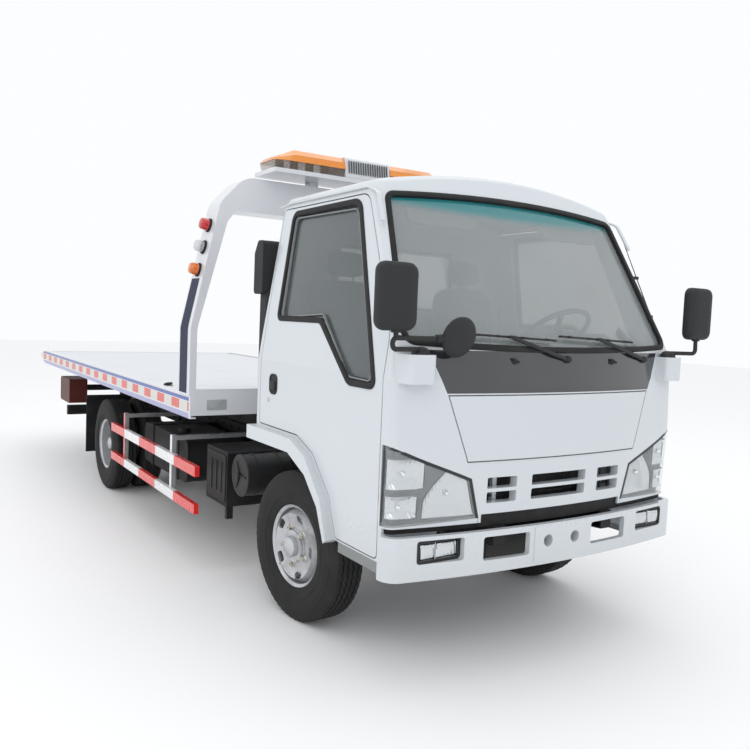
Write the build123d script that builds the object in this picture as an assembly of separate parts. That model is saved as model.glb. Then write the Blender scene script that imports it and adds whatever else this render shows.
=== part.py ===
from build123d import *
import os
from math import atan2, cos, hypot, sin

# Flatbed tow truck: light cab-over chassis with a sliding, tilting bed and a lamp gantry.
# Millimetres, +X forward, +Y to the truck's left, +Z up, ground at z = 0.
# Every x below is measured from the front axle; the whole truck is moved at the end so that
# the origin lies on the ground under the middle of its outline.

# Overall places
BUMPER_X = 1030.0        # foremost point of the bumper
TAIL_X = -6000.0         # tip of the bed's tail
WHEELBASE = 3360.0
SEAT = 0.3               # clearance where one piece rests on or in another
HINGE_HEIGHTS = (760.0, 1300.0)   # door hinges above the ground
MOVE_GAP = 6.0           # clearance round a moving panel
REST_STEER = 6.0         # degrees the front wheels are turned to the left as parked

# Wheels and tyres
TYRE_R = 389.0
TYRE_HALF = 100.0        # half the section width
TREAD_HALF = 76.0
BEAD_R = 204.0
RIM_LIP_R = 228.0
RIM_HALF = 84.0
RIM_WALL = 7.0
DISC_T = 10.0
HUB_R = 82.0
HUB_CAP_R = 48.0
HAND_HOLES = 5
HAND_HOLE = (62.0, 34.0)  # length, width
HAND_HOLE_R = 151.0       # radius of the circle of hand holes
FRONT_TRACK = 1600.0
TWIN_PITCH = 230.0        # centre to centre of twin tyres
REAR_TRACK = 1620.0       # between the middles of the twins
KINGPIN_Y = 700.0
KINGPIN_R = 14.0
STUB_R = 28.0
DRUM_R = 160.0
DRUM_DEPTH = 170.0        # how far a rear drum reaches in from between the twins

# Chassis frame
RAIL_OUT = 385.0         # outer face of a rail
RAIL_W = 70.0
RAIL_TOP = 745.0
RAIL_BOTTOM = 560.0
RAIL_T = 8.0
RAIL_FRONT_X = 986.5
RAIL_REAR_X = -5120.0
SPRING_Y = 430.0
SPRING_W = 64.0
SPRING_EYE_Z = 530.0
FRONT_SPRING_HALF = 600.0
FRONT_SPRING_Z = 400.0   # top of the spring seats on the front axle
REAR_SPRING_HALF = 650.0
AXLE_R = 60.0

# Cab hull: horizontal sections (height, rear x, front x at the centre, half width)
CAB_SECTIONS = [
    (545.0, -452.0, 985.0, 903.0),
    (700.0, -455.0, 990.0, 905.0),
    (1005.0, -460.0, 1000.0, 907.0),
    (1330.0, -460.0, 990.0, 907.0),
    (1475.0, -458.0, 972.0, 887.0),
    (2170.0, -425.0, 592.0, 790.0),
]
ROOF_TOP = 2300.0
ROOF_RUN_IN = 70.0       # how far the roof's sides lean in up to its top
ROOF_CROWN_R = 3670.0
ROOF_EDGE_R = 45.0
BOW_R = 4600.0           # radius of the cab's front in plan
CAB_CORNER_R = 46.0
CAB_REAR_R = 40.0
WALL = 45.0              # whole thickness of wall, door or roof
FLOOR_T = 40.0
CAB_SILL = 545.0
ARCH_UNDER = 960.0       # underside of the floor over the wheels
TUNNEL_HALF = 450.0
TUNNEL_TOP = 955.0
FOOTWELL_FLOOR = 700.0
STEPWELL_Y = 650.0
PIVOT_X, PIVOT_Z = 930.0, 715.0   # cab tilt pin
PIVOT_R = 12.0

# Doors, windows
DOOR_FRONT = 828.0
DOOR_REAR = -390.0
DOOR_TOP = 2150.0
DOOR_FOOT = 557.0
POD_TOP = 1440.0         # top of the mirror pods
GLASS_T = 5.0
GLASS_DEPTH = 18.0       # how far the panes lie inside the outer skin
LID_T = 18.0
LID_RECESS = 26.0

# Bed
DECK_HALF = 1100.0
DECK_FRONT = -975.0
DECK_TOP = 1055.0
DECK_PLATE = 6.0
CROSS_H = 58.0
SILL_H = 86.0
RAIL_LOW = 925.0
RAIL_HIGH = 1065.0
SIDE_RAIL_W = 38.0
TAIL_BEAM_X = -5700.0
TILT_X, TILT_Z = -5050.0, 826.0   # bed tilt pin
PAD_H = 8.0
SUB_FRONT_X = -1150.0
SUB_H = 145.0
BARREL_Z = 945.0
BARREL_R = 37.0
ROD_R = 22.0
FOOT_X, FOOT_Z = -2900.0, 590.0   # lower pins of the tilt cylinders
EYE_X, EYE_Z = -1700.0, 800.0     # upper pins
TILT_CYL_Y = 190.0
TILT_BARREL_R = 44.0
TILT_ROD_R = 25.0
EYE_R = 36.0
EYE_W = 52.0
EYE_PIN_R = 20.0
EYE_PIN_OUT = 1.0        # how far the pin stands out of each side of the eye
EYE_PLAY = 62.0          # room in front of the eye for the linkage's drift
LUG_T = 14.0
LUG_GAP = 1.5            # side play between the eye and each lug

# Gantry and light bar
GANTRY_D = 200.0
LIGHT_Z0, LIGHT_Z1 = 2440.0, 2600.0
LIGHT_X0, LIGHT_X1 = -1100.0, -800.0
LIGHT_HALF = 670.0


def block(x0, x1, y0, y1, z0, z1):
    """A box between two corners."""
    return Pos((x0 + x1) / 2, (y0 + y1) / 2, (z0 + z1) / 2) * Box(x1 - x0, y1 - y0, z1 - z0)


def outline(points, radii=0.0, grow=0.0):
    """A closed face with rounded corners, grown or shrunk all round."""
    face = make_face(FilletPolyline(*points, radius=radii, close=True))
    return offset(face, grow, kind=Kind.INTERSECTION) if grow else face


def side_prism(points, y0, y1, radii=0.0, grow=0.0):
    """A solid between y0 and y1 with an outline (x, z) seen from the side."""
    plane = Plane(origin=(0, y1, 0), x_dir=(1, 0, 0), z_dir=(0, -1, 0))
    return extrude(plane * outline(points, radii, grow), y1 - y0)


def front_prism(points, x0, x1, radii=0.0, grow=0.0):
    """A solid between x0 and x1 with an outline (y, z) seen from the front."""
    plane = Plane(origin=(x0, 0, 0), x_dir=(0, 1, 0), z_dir=(1, 0, 0))
    return extrude(plane * outline(points, radii, grow), x1 - x0)


def plan_prism(points, z0, z1, radii=0.0, grow=0.0):
    """A solid between z0 and z1 with an outline (x, y) seen from above."""
    return Pos(0, 0, z0) * extrude(outline(points, radii, grow), z1 - z0)


def tube(start, end, radius, bore=0.0):
    """A round bar or pipe from one point to another."""
    a, b = Vector(*start), Vector(*end)
    plane = Plane(origin=a, z_dir=(b - a).normalized())
    face = Circle(radius) - Circle(bore) if bore else Circle(radius)
    return extrude(plane * face, (b - a).length)


def bar(points, radius, bend):
    """A bent round bar with tangent bends."""
    path = FilletPolyline(*points, radius=bend)
    start = Plane(origin=path @ 0, z_dir=path % 0)
    return sweep(start * Circle(radius), path)


def both(shape):
    """The shape and its mirror image on the other side."""
    return [shape, mirror(shape, Plane.XZ)]


def other_side(shape):
    return mirror(shape, Plane.XZ)


# Wheels, made with the axle along Y and the outer face towards -Y

def tyre_ring(middle):
    half = [(BEAD_R, 72), (252, 95), (312, TYRE_HALF), (362, 90), (TYRE_R, TREAD_HALF)]
    points = [(r, middle - y) for r, y in half] + [(r, middle + y) for r, y in reversed(half)]
    return revolve(Plane.XY * make_face(Polyline(*points, close=True)), Axis.Y)


def wheel_disc(flange_y, dish, bulge):
    """The dished steel disc with its hand holes, from the hub flange out to the rim well."""
    edge = BEAD_R - RIM_WALL - SEAT
    front = [(0, flange_y), (118, flange_y), (168, flange_y - bulge), (edge, flange_y + dish)]
    back = [(r, y + DISC_T) for r, y in reversed(front)]
    disc = revolve(make_face(Polyline(*front, *back, close=True)), Axis.Y)
    hole = extrude(Plane.XZ * SlotOverall(*HAND_HOLE), 200, both=True)
    for index in range(HAND_HOLES):
        turn = Rot(0, 360 / HAND_HOLES * index + 18, 0)
        disc -= turn * Pos(0, 0, HAND_HOLE_R) * hole
    return disc


def rim_barrel(middle):
    inner = BEAD_R - RIM_WALL - SEAT
    outer = BEAD_R - SEAT
    points = [
        (RIM_LIP_R, middle - RIM_HALF), (outer, middle - RIM_HALF + 12),
        (outer, middle + RIM_HALF - 12), (RIM_LIP_R, middle + RIM_HALF),
        (RIM_LIP_R - RIM_WALL, middle + RIM_HALF), (inner, middle + RIM_HALF - 16),
        (inner, middle - RIM_HALF + 16), (RIM_LIP_R - RIM_WALL, middle - RIM_HALF),
    ]
    return revolve(make_face(Polyline(*points, close=True)), Axis.Y)


def turned(radius, y0, y1):
    """A cylinder about the wheel's axle."""
    return Pos(0, (y0 + y1) / 2, 0) * Rot(90, 0, 0) * Cylinder(radius, y1 - y0)


def front_rim():
    rim = rim_barrel(0) + wheel_disc(-70, 42, 14)
    rim += turned(HUB_R, -90, -60) + turned(HUB_CAP_R, -112, -85)
    return rim + turned(DRUM_R - 12, -62, 24) - turned(STUB_R + SEAT, -42, 30)


def rear_rim():
    gap = TWIN_PITCH / 2
    disc = wheel_disc(-DISC_T, -42, 0)
    rim = rim_barrel(-gap) + disc + rim_barrel(gap) + other_side(disc)
    rim += turned(HUB_R, -125, -5) + turned(HUB_CAP_R, -165, -120)
    return rim + turned(DRUM_R, 5, DRUM_DEPTH)


# Cab

def cab_section(height, rear, front, half, inset):
    """One horizontal section of the cab: straight back and sides, bowed front."""
    half -= inset
    nose = front - inset
    shoulder = nose - half * half / (2 * BOW_R)
    back = rear + inset
    side_a = Line((back, -half), (shoulder, -half))
    bow = ThreePointArc((shoulder, -half), (nose, 0), (shoulder, half))
    side_b = Line((shoulder, half), (back, half))
    rear_line = Line((back, half), (back, -half))
    face = make_face([side_a, bow, side_b, rear_line])
    fronts = face.vertices().filter_by(lambda v: v.X > 0)
    face = fillet(fronts, CAB_CORNER_R - 0.3 * inset)
    rears = face.vertices().group_by(Axis.X)[0]
    return Pos(0, 0, height) * fillet(rears, CAB_REAR_R - 0.3 * inset)


def cab_hull(inset=0.0):
    """The closed outer form of the cab, or the same form a wall further in."""
    faces = [cab_section(*row, inset) for row in CAB_SECTIONS]
    body = loft(faces, ruled=True)
    height, rear, front, half = CAB_SECTIONS[-1]
    low = cab_section(height, rear, front, half, inset)
    high = cab_section(ROOF_TOP + 30, rear, front, half, inset + ROOF_RUN_IN * 1.23)
    roof = loft([low, high], ruled=True)
    top = ROOF_TOP - inset
    edge = top - half * half / (2 * ROOF_CROWN_R)
    crown = Polyline((half, edge), (half, height - 50), (-half, height - 50), (-half, edge))
    arch = ThreePointArc((-half, edge), (0, top), (half, edge))
    plane = Plane(origin=(-600, 0, 0), x_dir=(0, 1, 0), z_dir=(1, 0, 0))
    roof &= extrude(plane * make_face([*crown.edges(), arch]), 1400)
    if not inset:
        rims = roof.edges().filter_by(lambda e: e.center().Z > edge - 60 and e.length > 20)
        rims = [e for e in rims if abs(e.tangent_at(0.5).Z) < 0.2 and e.center().Z > height + 20]
        roof = fillet(rims, ROOF_EDGE_R)
    return body + roof


def mirrored_points(points):
    """An outline drawn on the right half (y, z), closed with its mirror image."""
    return points + [(-y, z) for y, z in reversed(points)]


CAB_REAR_X = -470.0
ARCH_OUT_Y = 948.0       # outer face of the arch strip
ARCH_BAND_Y = 885.0      # inner face of the arch strip, where its liner starts
ARCH_IN_Y = 590.0        # inner edge of the liner
LINER_T = 7.0
ARCH_SEAM = [(CAB_REAR_X, ARCH_UNDER), (54, ARCH_UNDER), (223, 897), (392, 722), (462, 541)]
ARCH_EDGE = [(-470, 886), (42, 886), (231, 807), (366, 679), (440, 525)]
DOOR_LINE = [
    (DOOR_REAR, DOOR_TOP), (480, DOOR_TOP), (DOOR_FRONT, 1525), (DOOR_FRONT, DOOR_FOOT),
    (478, DOOR_FOOT), (410, 737), (236, 913), (64, 978), (DOOR_REAR, 981),
]
DOOR_RADII = [35, 90, 160, 25, 20, 90, 90, 60, 12]
SIDE_WINDOW = [(-258, 2117), (412, 2120), (768, 1292), (556, 1292), (215, 1563), (-256, 1563)]
SIDE_WINDOW_RADII = [35, 75, 26, 70, 80, 30]
WINDSCREEN = [(-845, 1490), (845, 1490), (738, 2152), (-738, 2152)]
REAR_WINDOW = [(-430, 1640), (430, 1640), (430, 2000), (-430, 2000)]
LAMP_LINE = [(-980, 704), (-463, 722), (-512, 901), (-768, 997), (-912, 1055), (-980, 1055)]
GRILLE_LINE = mirrored_points([(-459, 737), (-505, 901), (-530, 966)])
LID_LINE = mirrored_points([(-537, 978), (-640, 1262)])
GARNISH_LINE = mirrored_points([(-652, 1274), (-742, 1458)])
GRILLE_SLOTS = [(-345, 165), (0, 350), (345, 165)]   # middle y, width of each opening
GRILLE_Z = (785, 900)
GRILLE_BAR = 16


def windscreen_face(grow):
    """The windscreen's outline with its lower and upper edges bowed (y, z)."""
    (ya, za), (yb, zb), (yc, zc), (yd, zd) = WINDSCREEN
    low = ThreePointArc((ya, za), (0, za - 22), (yb, zb))
    high = ThreePointArc((yc, zc), (0, zc + 30), (yd, zd))
    face = make_face([low, Line((yb, zb), (yc, zc)), high, Line((yd, zd), (ya, za))])
    face = fillet(face.vertices(), 45)
    return offset(face, grow, kind=Kind.INTERSECTION) if grow else face


def front_tool(face, x0, x1):
    plane = Plane(origin=(x0, 0, 0), x_dir=(0, 1, 0), z_dir=(1, 0, 0))
    return extrude(plane * face, x1 - x0)


def door_blank(grow):
    """The right door's place in the hull, its rear edge round about the hinge."""
    reach = DOOR_FRONT - DOOR_REAR + grow
    prism = side_prism(DOOR_LINE, -1000, -700, DOOR_RADII, grow)
    hinge_y = -CAB_SECTIONS[2][3]
    return prism & Pos(DOOR_FRONT, hinge_y, 1350) * Cylinder(reach, 2000)


def side_window(grow):
    return side_prism(SIDE_WINDOW, -1000, -650, SIDE_WINDOW_RADII, grow)


def lamp_tool(grow):
    prism = front_prism(LAMP_LINE, 700, 1100, 0, grow)
    return prism & block(846 - grow, 1200, -1000, 0, 600, 1200)


def cab_shell(hull, cavity):
    """Roof, pillars, floor, back wall and front corners, with every opening cut."""
    room = cavity - side_prism(
        [(-600, ARCH_UNDER + FLOOR_T), (66, ARCH_UNDER + FLOOR_T), (250, 928), (430, 737),
         (500, 590), (500, 300), (-600, 300)], -1100, 1100)
    tunnel = TUNNEL_HALF + FLOOR_T
    room -= block(200, 1100, -tunnel, tunnel, 300, TUNNEL_TOP + FLOOR_T)
    room -= block(200, 1100, -STEPWELL_Y, STEPWELL_Y, 300, FOOTWELL_FLOOR)
    room -= block(DOOR_FRONT - 12, 1100, -1100, 1100, 300, FOOTWELL_FLOOR + FLOOR_T)
    shell = hull - room
    shell -= side_prism(ARCH_SEAM + [(462, 400), (-600, 400), (-600, ARCH_UNDER)], -1100, 1100)
    shell -= block(0, 1100, -TUNNEL_HALF, TUNNEL_HALF, 300, TUNNEL_TOP)
    under = STEPWELL_Y - FLOOR_T
    shell -= block(300, 1100, -under, under, 300, FOOTWELL_FLOOR - FLOOR_T)
    shell -= block(862, 1100, -1100, 1100, 300, 700)
    for hole in both(door_blank(MOVE_GAP)):
        shell -= hole
    shell -= front_tool(windscreen_face(0), 400, 1100)
    shell -= front_prism(REAR_WINDOW, -600, -300, 50)
    return shell


def front_recesses(shell, hull):
    """Seats cut into the front wall for the lamps, grille, lid and dark panel."""
    lamp = (hull - cab_hull(40)) & lamp_tool(SEAT)
    shell -= lamp
    shell -= other_side(lamp)
    shell -= front_prism(GRILLE_LINE, 880, 1100, 0, SEAT)
    lid = (hull - cab_hull(LID_RECESS)) & front_prism(LID_LINE, 700, 1100, 0, MOVE_GAP)
    garnish = (hull - cab_hull(LID_T)) & front_prism(GARNISH_LINE, 700, 1100, 0, SEAT)
    return shell - lid - garnish


def hinge_leaves():
    """Hinge leaves in the right door's front gap and rubber stops behind the lid."""
    gap = DOOR_FRONT + MOVE_GAP + 1
    leaves = [block(DOOR_FRONT + SEAT, gap, -903, -873, z - 40, z + 40) for z in HINGE_HEIGHTS]
    return leaves


def lid_stops():
    """Rubber stops in the recess that the closed lid rests on."""
    band = cab_hull(LID_T + SEAT) - cab_hull(LID_RECESS + 1)
    return [band & tube((880, y, 1010), (1100, y, 1010), 14) for y in (-430, 430)]


def headlamp(hull):
    return (hull - cab_hull(40 - SEAT)) & lamp_tool(0)


def grille(hull):
    """White panel pierced by three openings, each with a bar across its middle."""
    panel = (hull - cab_hull(WALL)) & front_prism(GRILLE_LINE, 700, 1100)
    z0, z1 = GRILLE_Z
    middle = (z0 + z1) / 2
    for y, width in GRILLE_SLOTS:
        for low, high in ((z0, middle - GRILLE_BAR / 2), (middle + GRILLE_BAR / 2, z1)):
            hole = [(y - width / 2, low), (y + width / 2, low), (y + width / 2, high), (y - width / 2, high)]
            panel -= front_prism(hole, 700, 1100, 8)
    return panel


def front_lid(hull):
    return (hull - cab_hull(LID_T)) & front_prism(LID_LINE, 700, 1100)


def garnish(hull):
    return (hull - cab_hull(LID_T - SEAT)) & front_prism(GARNISH_LINE, 700, 1100)


def door_panel(hull, cavity):
    """The right door: full wall thickness, window cut."""
    return ((hull - cavity) & door_blank(0)) - side_window(0)


def glass_skin():
    return cab_hull(GLASS_DEPTH) - cab_hull(GLASS_DEPTH + GLASS_T)


def wheel_arch():
    """White arch strip proud of the right side, with the liner that runs in over the tyre."""
    seam = [(x, z - SEAT) for x, z in ARCH_SEAM]
    inner = [(max(x - LINER_T, CAB_REAR_X), z - LINER_T) for x, z in ARCH_SEAM]
    band = side_prism(seam + ARCH_EDGE[::-1], -ARCH_OUT_Y, -ARCH_BAND_Y)
    liner = side_prism(seam + inner[::-1], -ARCH_BAND_Y, -ARCH_IN_Y)
    return band + liner


def step():
    """Grey step under the right door."""
    return plan_prism([(494, -903), (845, -903), (845, -660), (494, -660)], 497, CAB_SILL - SEAT, 18)


def dashboard():
    profile = [(905, 1250), (880, 1470), (760, 1490), (640, 1440), (600, 1330), (640, 1180), (760, 1100)]
    return side_prism(profile, -800, 800, 30) & cab_hull(WALL + SEAT)


def seat(y):
    """Cushion, backrest and head restraint of one seat, one soft solid."""
    base = ARCH_UNDER + FLOOR_T + SEAT
    cushion = side_prism([(-330, base), (170, base), (200, base + 230), (160, base + 270),
                          (-330, base + 230)], y - 240, y + 240, 30)
    back = side_prism([(-350, base + 200), (-220, base + 210), (-270, 1800), (-370, 1800)],
                      y - 235, y + 235, 30)
    rest = side_prism([(-350, 1790), (-280, 1790), (-285, 1960), (-365, 1960)], y - 120, y + 120, 25)
    return cushion + back + rest


def steering_wheel(y):
    """Rim, hub, three spokes and the column down to the dashboard."""
    tilt = Plane(origin=(520, y, 1540), z_dir=(-0.62, 0, 0.78))
    wheel = tilt * Torus(195, 14)
    wheel += tilt * Pos(0, 0, -20) * Cylinder(52, 40)
    for angle in (90, 210, 330):
        wheel += tilt * Rot(0, 0, angle) * Pos(115, 0, -8) * Box(150, 26, 12)
    return wheel + tube((530, y, 1527), (640, y, 1388), 26)


def mirror_set():
    """Right mirror: body-coloured pod on the corner, bent arm and tall head."""
    foot = POD_TOP + SEAT
    arm = bar([(950, -800, foot), (950, -800, 1478), (1000, -900, 1502), (995, -962, 1536)], 11, 12)
    head = plan_prism([(965, -1058), (1010, -1052), (1018, -872), (965, -866)], 1534, 1810, 14)
    return arm + head


def mirror_pod():
    """The pod on the cab's front corner that carries the mirror arm."""
    return plan_prism([(862, -893), (985, -868), (992, -748), (900, -730)], 1318, POD_TOP, 22)


def round_mirror():
    """Small round mirror that looks down at the front corner, on its own stem."""
    stem = bar([(962, -815, 1480), (985, -760, 1500), (1002, -660, 1514)], 11, 12)
    return stem + tube((985, -640, 1515), (1022, -650, 1515), 90)


def screen_x(y, z):
    """x of the windscreen's outer surface."""
    foot, head = CAB_SECTIONS[-2], CAB_SECTIONS[-1]
    share = (z - foot[0]) / (head[0] - foot[0])
    return foot[2] + share * (head[2] - foot[2]) - y * y / (2 * BOW_R)


def wiper(pivot_y, reach):
    """Arm from its spindle on the dark panel to a blade along the foot of the windscreen."""
    nose = screen_x(pivot_y, 1425) - 20
    tip_y = pivot_y - reach
    spindle = tube((nose - 30, pivot_y, 1425), (nose + 16, pivot_y, 1425), 13)
    middle = tip_y + 270
    arm = tube((nose + 8, pivot_y, 1425), (screen_x(middle, 1522) + 16, middle, 1522), 7)
    ends = [(screen_x(y, z) + 12, y, z) for y, z in ((tip_y + 540, 1512), (tip_y, 1532))]
    chord_mid = (screen_x(middle, 1522) + 14, middle, 1522)
    return spindle + arm + tube(ends[0], chord_mid, 6) + tube(chord_mid, ends[1], 6)


def intake_duct():
    """Air intake that stands behind the cab's right rear corner with a hooded mouth."""
    x0, x1 = CAB_SECTIONS[3][1] - 110, CAB_SECTIONS[3][1] - 12
    stem = plan_prism([(x0, -850), (x1, -850), (x1, -760), (x0, -760)], 1180, 1850, 18)
    hood = side_prism([(x0 - 15, 1690), (x1, 1690), (x1, 1990), (x0 + 30, 1990), (x0 - 15, 1920)],
                      -880, -750, 25)
    foot = block(x0 + 20, CAB_SECTIONS[3][1] - SEAT, -820, -790, 1240, 1270)
    return stem + hood + foot


# Steered wheels

def front_axle():
    """Dropped beam with a kingpin boss at each end."""
    half = [(-470, 268), (-555, 290), (-610, 343), (-KINGPIN_Y + 20, 346), (-KINGPIN_Y + 20, 425),
            (-560, 400), (-470, 345)]
    points = half + [(-y, z) for y, z in reversed(half)]
    beam = front_prism(points, -40, 40)
    for y in (-KINGPIN_Y, KINGPIN_Y):
        beam += Pos(0, y, 385) * Cylinder(30, 100 - 2 * SEAT)
        beam += Pos(0, y, 385) * Cylinder(KINGPIN_R, 170)
    for y in (-SPRING_Y, SPRING_Y):
        beam += block(-60, 60, y - SPRING_W / 2, y + SPRING_W / 2, 330, FRONT_SPRING_Z)
    return beam


def knuckle():
    """Right steering knuckle: yoke over and under the boss, backing plate and stub."""
    y = -KINGPIN_Y
    yoke = block(-32, 32, y - 45, y + 28, 435, 465) + block(-32, 32, y - 45, y + 28, 305, 335)
    yoke += block(-32, 32, y - 60, y - 34, 305, 465)
    arm = block(-180, -30, y + 5, y + 35, 312, 332)
    stub = tube((0, y - 50, TYRE_R), (0, y - 140, TYRE_R), STUB_R)
    bore = tube((0, y, 280), (0, y, 490), KINGPIN_R + SEAT)
    return yoke + arm + stub - bore


def rear_axle():
    """Banjo casing with the final drive in its middle."""
    x, z = -WHEELBASE, TYRE_R
    inner = REAR_TRACK / 2 - DRUM_DEPTH - SEAT
    casing = tube((x, -inner, z), (x, inner, z), AXLE_R)
    casing += Pos(x, 0, z) * Rot(0, 90, 0) * Cylinder(150, 150)
    return casing + tube((x + 70, 0, z), (x + 190, 0, z + 6), 58)


def leaf_spring(x, half_length, z_mid, z_eye, thick):
    """Bowed leaf pack, thinner at its ends, with an eye at each end."""
    top = ThreePointArc((x - half_length, z_eye), (x, z_mid + thick), (x + half_length, z_eye))
    low = ThreePointArc((x - half_length, z_eye - 12), (x, z_mid), (x + half_length, z_eye - 12))
    ends = [Line(top @ 1, low @ 1), Line(low @ 0, top @ 0)]
    plane = Plane(origin=(0, -SPRING_Y + SPRING_W / 2, 0), x_dir=(1, 0, 0), z_dir=(0, -1, 0))
    return extrude(plane * make_face([top, low, *ends]), SPRING_W)


# Chassis frame and what hangs on it

CROSS_MEMBERS = [-1100.0, -3080.0, -4150.0, -5060.0]
SPRING_EYES = [FRONT_SPRING_HALF - 20, -FRONT_SPRING_HALF + 20,
               -WHEELBASE + REAR_SPRING_HALF - 20, -WHEELBASE - REAR_SPRING_HALF + 20]


def rail():
    """Right rail, a channel open to the inside, tapered at its front end."""
    line = [(RAIL_REAR_X, RAIL_TOP), (540, RAIL_TOP), (RAIL_FRONT_X, 676), (RAIL_FRONT_X, 590),
            (560, RAIL_BOTTOM), (-4800, RAIL_BOTTOM), (RAIL_REAR_X, 610)]
    inside = RAIL_OUT - RAIL_W
    solid = side_prism(line, -RAIL_OUT, -inside)
    return solid - side_prism(line, -RAIL_OUT + RAIL_T, -inside + 1, 0, -RAIL_T)


def frame():
    """Two rails, cross members, spring hangers, cab posts, pads and bed hinge lugs."""
    whole = rail() + other_side(rail())
    reach = RAIL_OUT - RAIL_T
    for x in CROSS_MEMBERS:
        whole += block(x - 30, x + 30, -reach, reach, 655, RAIL_TOP - RAIL_T)
    whole += tube((880, -reach, 620), (880, reach, 620), 30)
    for side in (-1, 1):
        for x in SPRING_EYES:
            y0, y1 = sorted((side * RAIL_OUT, side * (SPRING_Y + SPRING_W / 2 + 12)))
            hanger = block(x - 25, x + 25, y0, y1, SPRING_EYE_Z - 30, RAIL_BOTTOM + 60)
            gap = SPRING_W / 2 + SEAT
            y = side * SPRING_Y
            whole += hanger - block(x - 30, x + 30, y - gap, y + gap, 400, SPRING_EYE_Z + SEAT)
        y0, y1 = sorted((side * 350, side * 378))
        whole += side_prism([(880, 660), (PIVOT_X - 14, PIVOT_Z + 14), (PIVOT_X + 14, PIVOT_Z + 14),
                             (965, 660)], y0, y1)
        y0, y1 = sorted((side * 330, side * 380))
        whole += block(-400, -340, y0, y1, RAIL_TOP - 5, ARCH_UNDER - SEAT)
        y0, y1 = sorted((side * 320, side * 380))
        for x in (-1300, -3000, -4200):
            whole += block(x - 60, x + 60, y0, y1, RAIL_TOP - 1, RAIL_TOP + PAD_H)
        y0, y1 = sorted((side * (RAIL_OUT + 3), side * (RAIL_OUT + 17)))
        whole += side_prism([(TILT_X - 60, 640), (TILT_X - 32, TILT_Z + 30), (TILT_X + 32, TILT_Z + 30),
                             (TILT_X + 60, 640)], y0, y1)
        y0, y1 = sorted((side * RAIL_OUT, side * (RAIL_OUT + 10)))
        whole += block(TILT_X - 60, TILT_X + 60, y0, y1, 640, RAIL_TOP - 5)
    pin = tube((TILT_X, -RAIL_OUT - 20, TILT_Z), (TILT_X, RAIL_OUT + 20, TILT_Z), 18)
    foot = tube((FOOT_X, -reach, FOOT_Z), (FOOT_X, reach, FOOT_Z), 16)
    cab_pin = tube((PIVOT_X, -400, PIVOT_Z), (PIVOT_X, 400, PIVOT_Z), PIVOT_R)
    return whole + pin + foot + cab_pin


def engine():
    """Engine block with the gearbox behind it, one plain solid."""
    block_ = block(-420, 700, -250, 250, 420, 915)
    return block_ + front_prism([(-150, 480), (150, 480), (150, 700), (-150, 700)], -820, -420, 50)


def radiator():
    return block(790, 850, -300, 300, 470, 930)


def driveshaft():
    start, end = (-820, 0, 590), (-WHEELBASE + 190 + SEAT, 0, TYRE_R + 8)
    return tube(start, end, 40)


def exhaust():
    """Pipe from the engine to a silencer on the left and a tail pipe behind it."""
    silencer = tube((-2350, 560, 500), (-1550, 560, 500), 95)
    front = bar([(-1560, 560, 500), (-900, 560, 500), (-700, 340, 500), (-300, 330, 500),
                 (-300, 250 + SEAT, 500)], 28, 40)
    rear = bar([(-2340, 560, 500), (-2600, 560, 500), (-2700, 800, 480), (-2700, 985, 480)], 26, 80)
    hanger = block(-1960, -1920, RAIL_OUT, 560, 560, 640)
    return silencer + front + rear + hanger


def fuel_tank():
    """Black tank on the right behind the side guards, with two straps."""
    tank = side_prism([(-2560, 390), (-1560, 390), (-1560, 690), (-2560, 690)], -900, -500, 60)
    for x in (-2350, -1770):
        tank += side_prism([(x - 25, 384), (x + 25, 384), (x + 25, 696), (x - 25, 696)], -906, -494)
        tank += block(x - 25, x + 25, -500, -RAIL_OUT - SEAT, 600, 690)
    return tank


def tool_box():
    """Battery box behind the right front wheel, on a hanger from the rail."""
    box = side_prism([(-1180, 394), (-835, 394), (-835, 733), (-1180, 733)], -905, -560, 12)
    bracket = block(-1050, -960, -560, -RAIL_OUT - SEAT, 640, 720)
    return box + bracket + block(-870, -840, -900, -860, 320, 400)


def air_cleaner():
    """Round air cleaner with its axis across the truck."""
    can = tube((-600, -925, 640), (-600, -640, 640), 120) + tube((-600, -640, 640), (-600, -560, 640), 70)
    return can + block(-640, -560, -560, -RAIL_OUT - SEAT, RAIL_BOTTOM + 65, 700)


GUARD_POSTS = [-2630.0, -1480.0]


def side_guard():
    """Right side guard: two boards on two posts with arms in to the rail."""
    guard = block(-2910, -935, -1075, -1045, 575, 640) + block(-2910, -935, -1075, -1045, 345, 405)
    for x in GUARD_POSTS:
        guard += block(x - 20, x + 20, -1045, -1015, 345, 750)
        guard += block(x - 20, x + 20, -1016, -RAIL_OUT - SEAT, 715, 742)
    return guard


def mud_flap():
    """Right flap behind the twin wheels with its arm from the rail."""
    return block(-4066, -4056, -1020, -600, 200, 740) + block(-4056, -4030, -1020, -RAIL_OUT - SEAT, 712, 740)


def tail_lamp():
    """Right rear lamp box on its arm."""
    return side_prism([(-5360, 560), (-4930, 560), (-4930, 810), (-5360, 810)], -1000, -820, 15)


def under_run():
    """Bar below the tail, its two legs and the arms that carry the lamps."""
    whole = block(-5300, -5240, -950, 950, 400, 500)
    for side in (-1, 1):
        y0, y1 = sorted((side * 390, side * 330))
        whole += block(-5290, -5250, y0, y1, 480, 740)
        whole += block(-5290, RAIL_REAR_X - SEAT, y0, y1, 640, 740)
        y0, y1 = sorted((side * 360, side * (820 - SEAT)))
        whole += block(-5290, -5250, y0, y1, 660, 720)
    return whole


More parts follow.
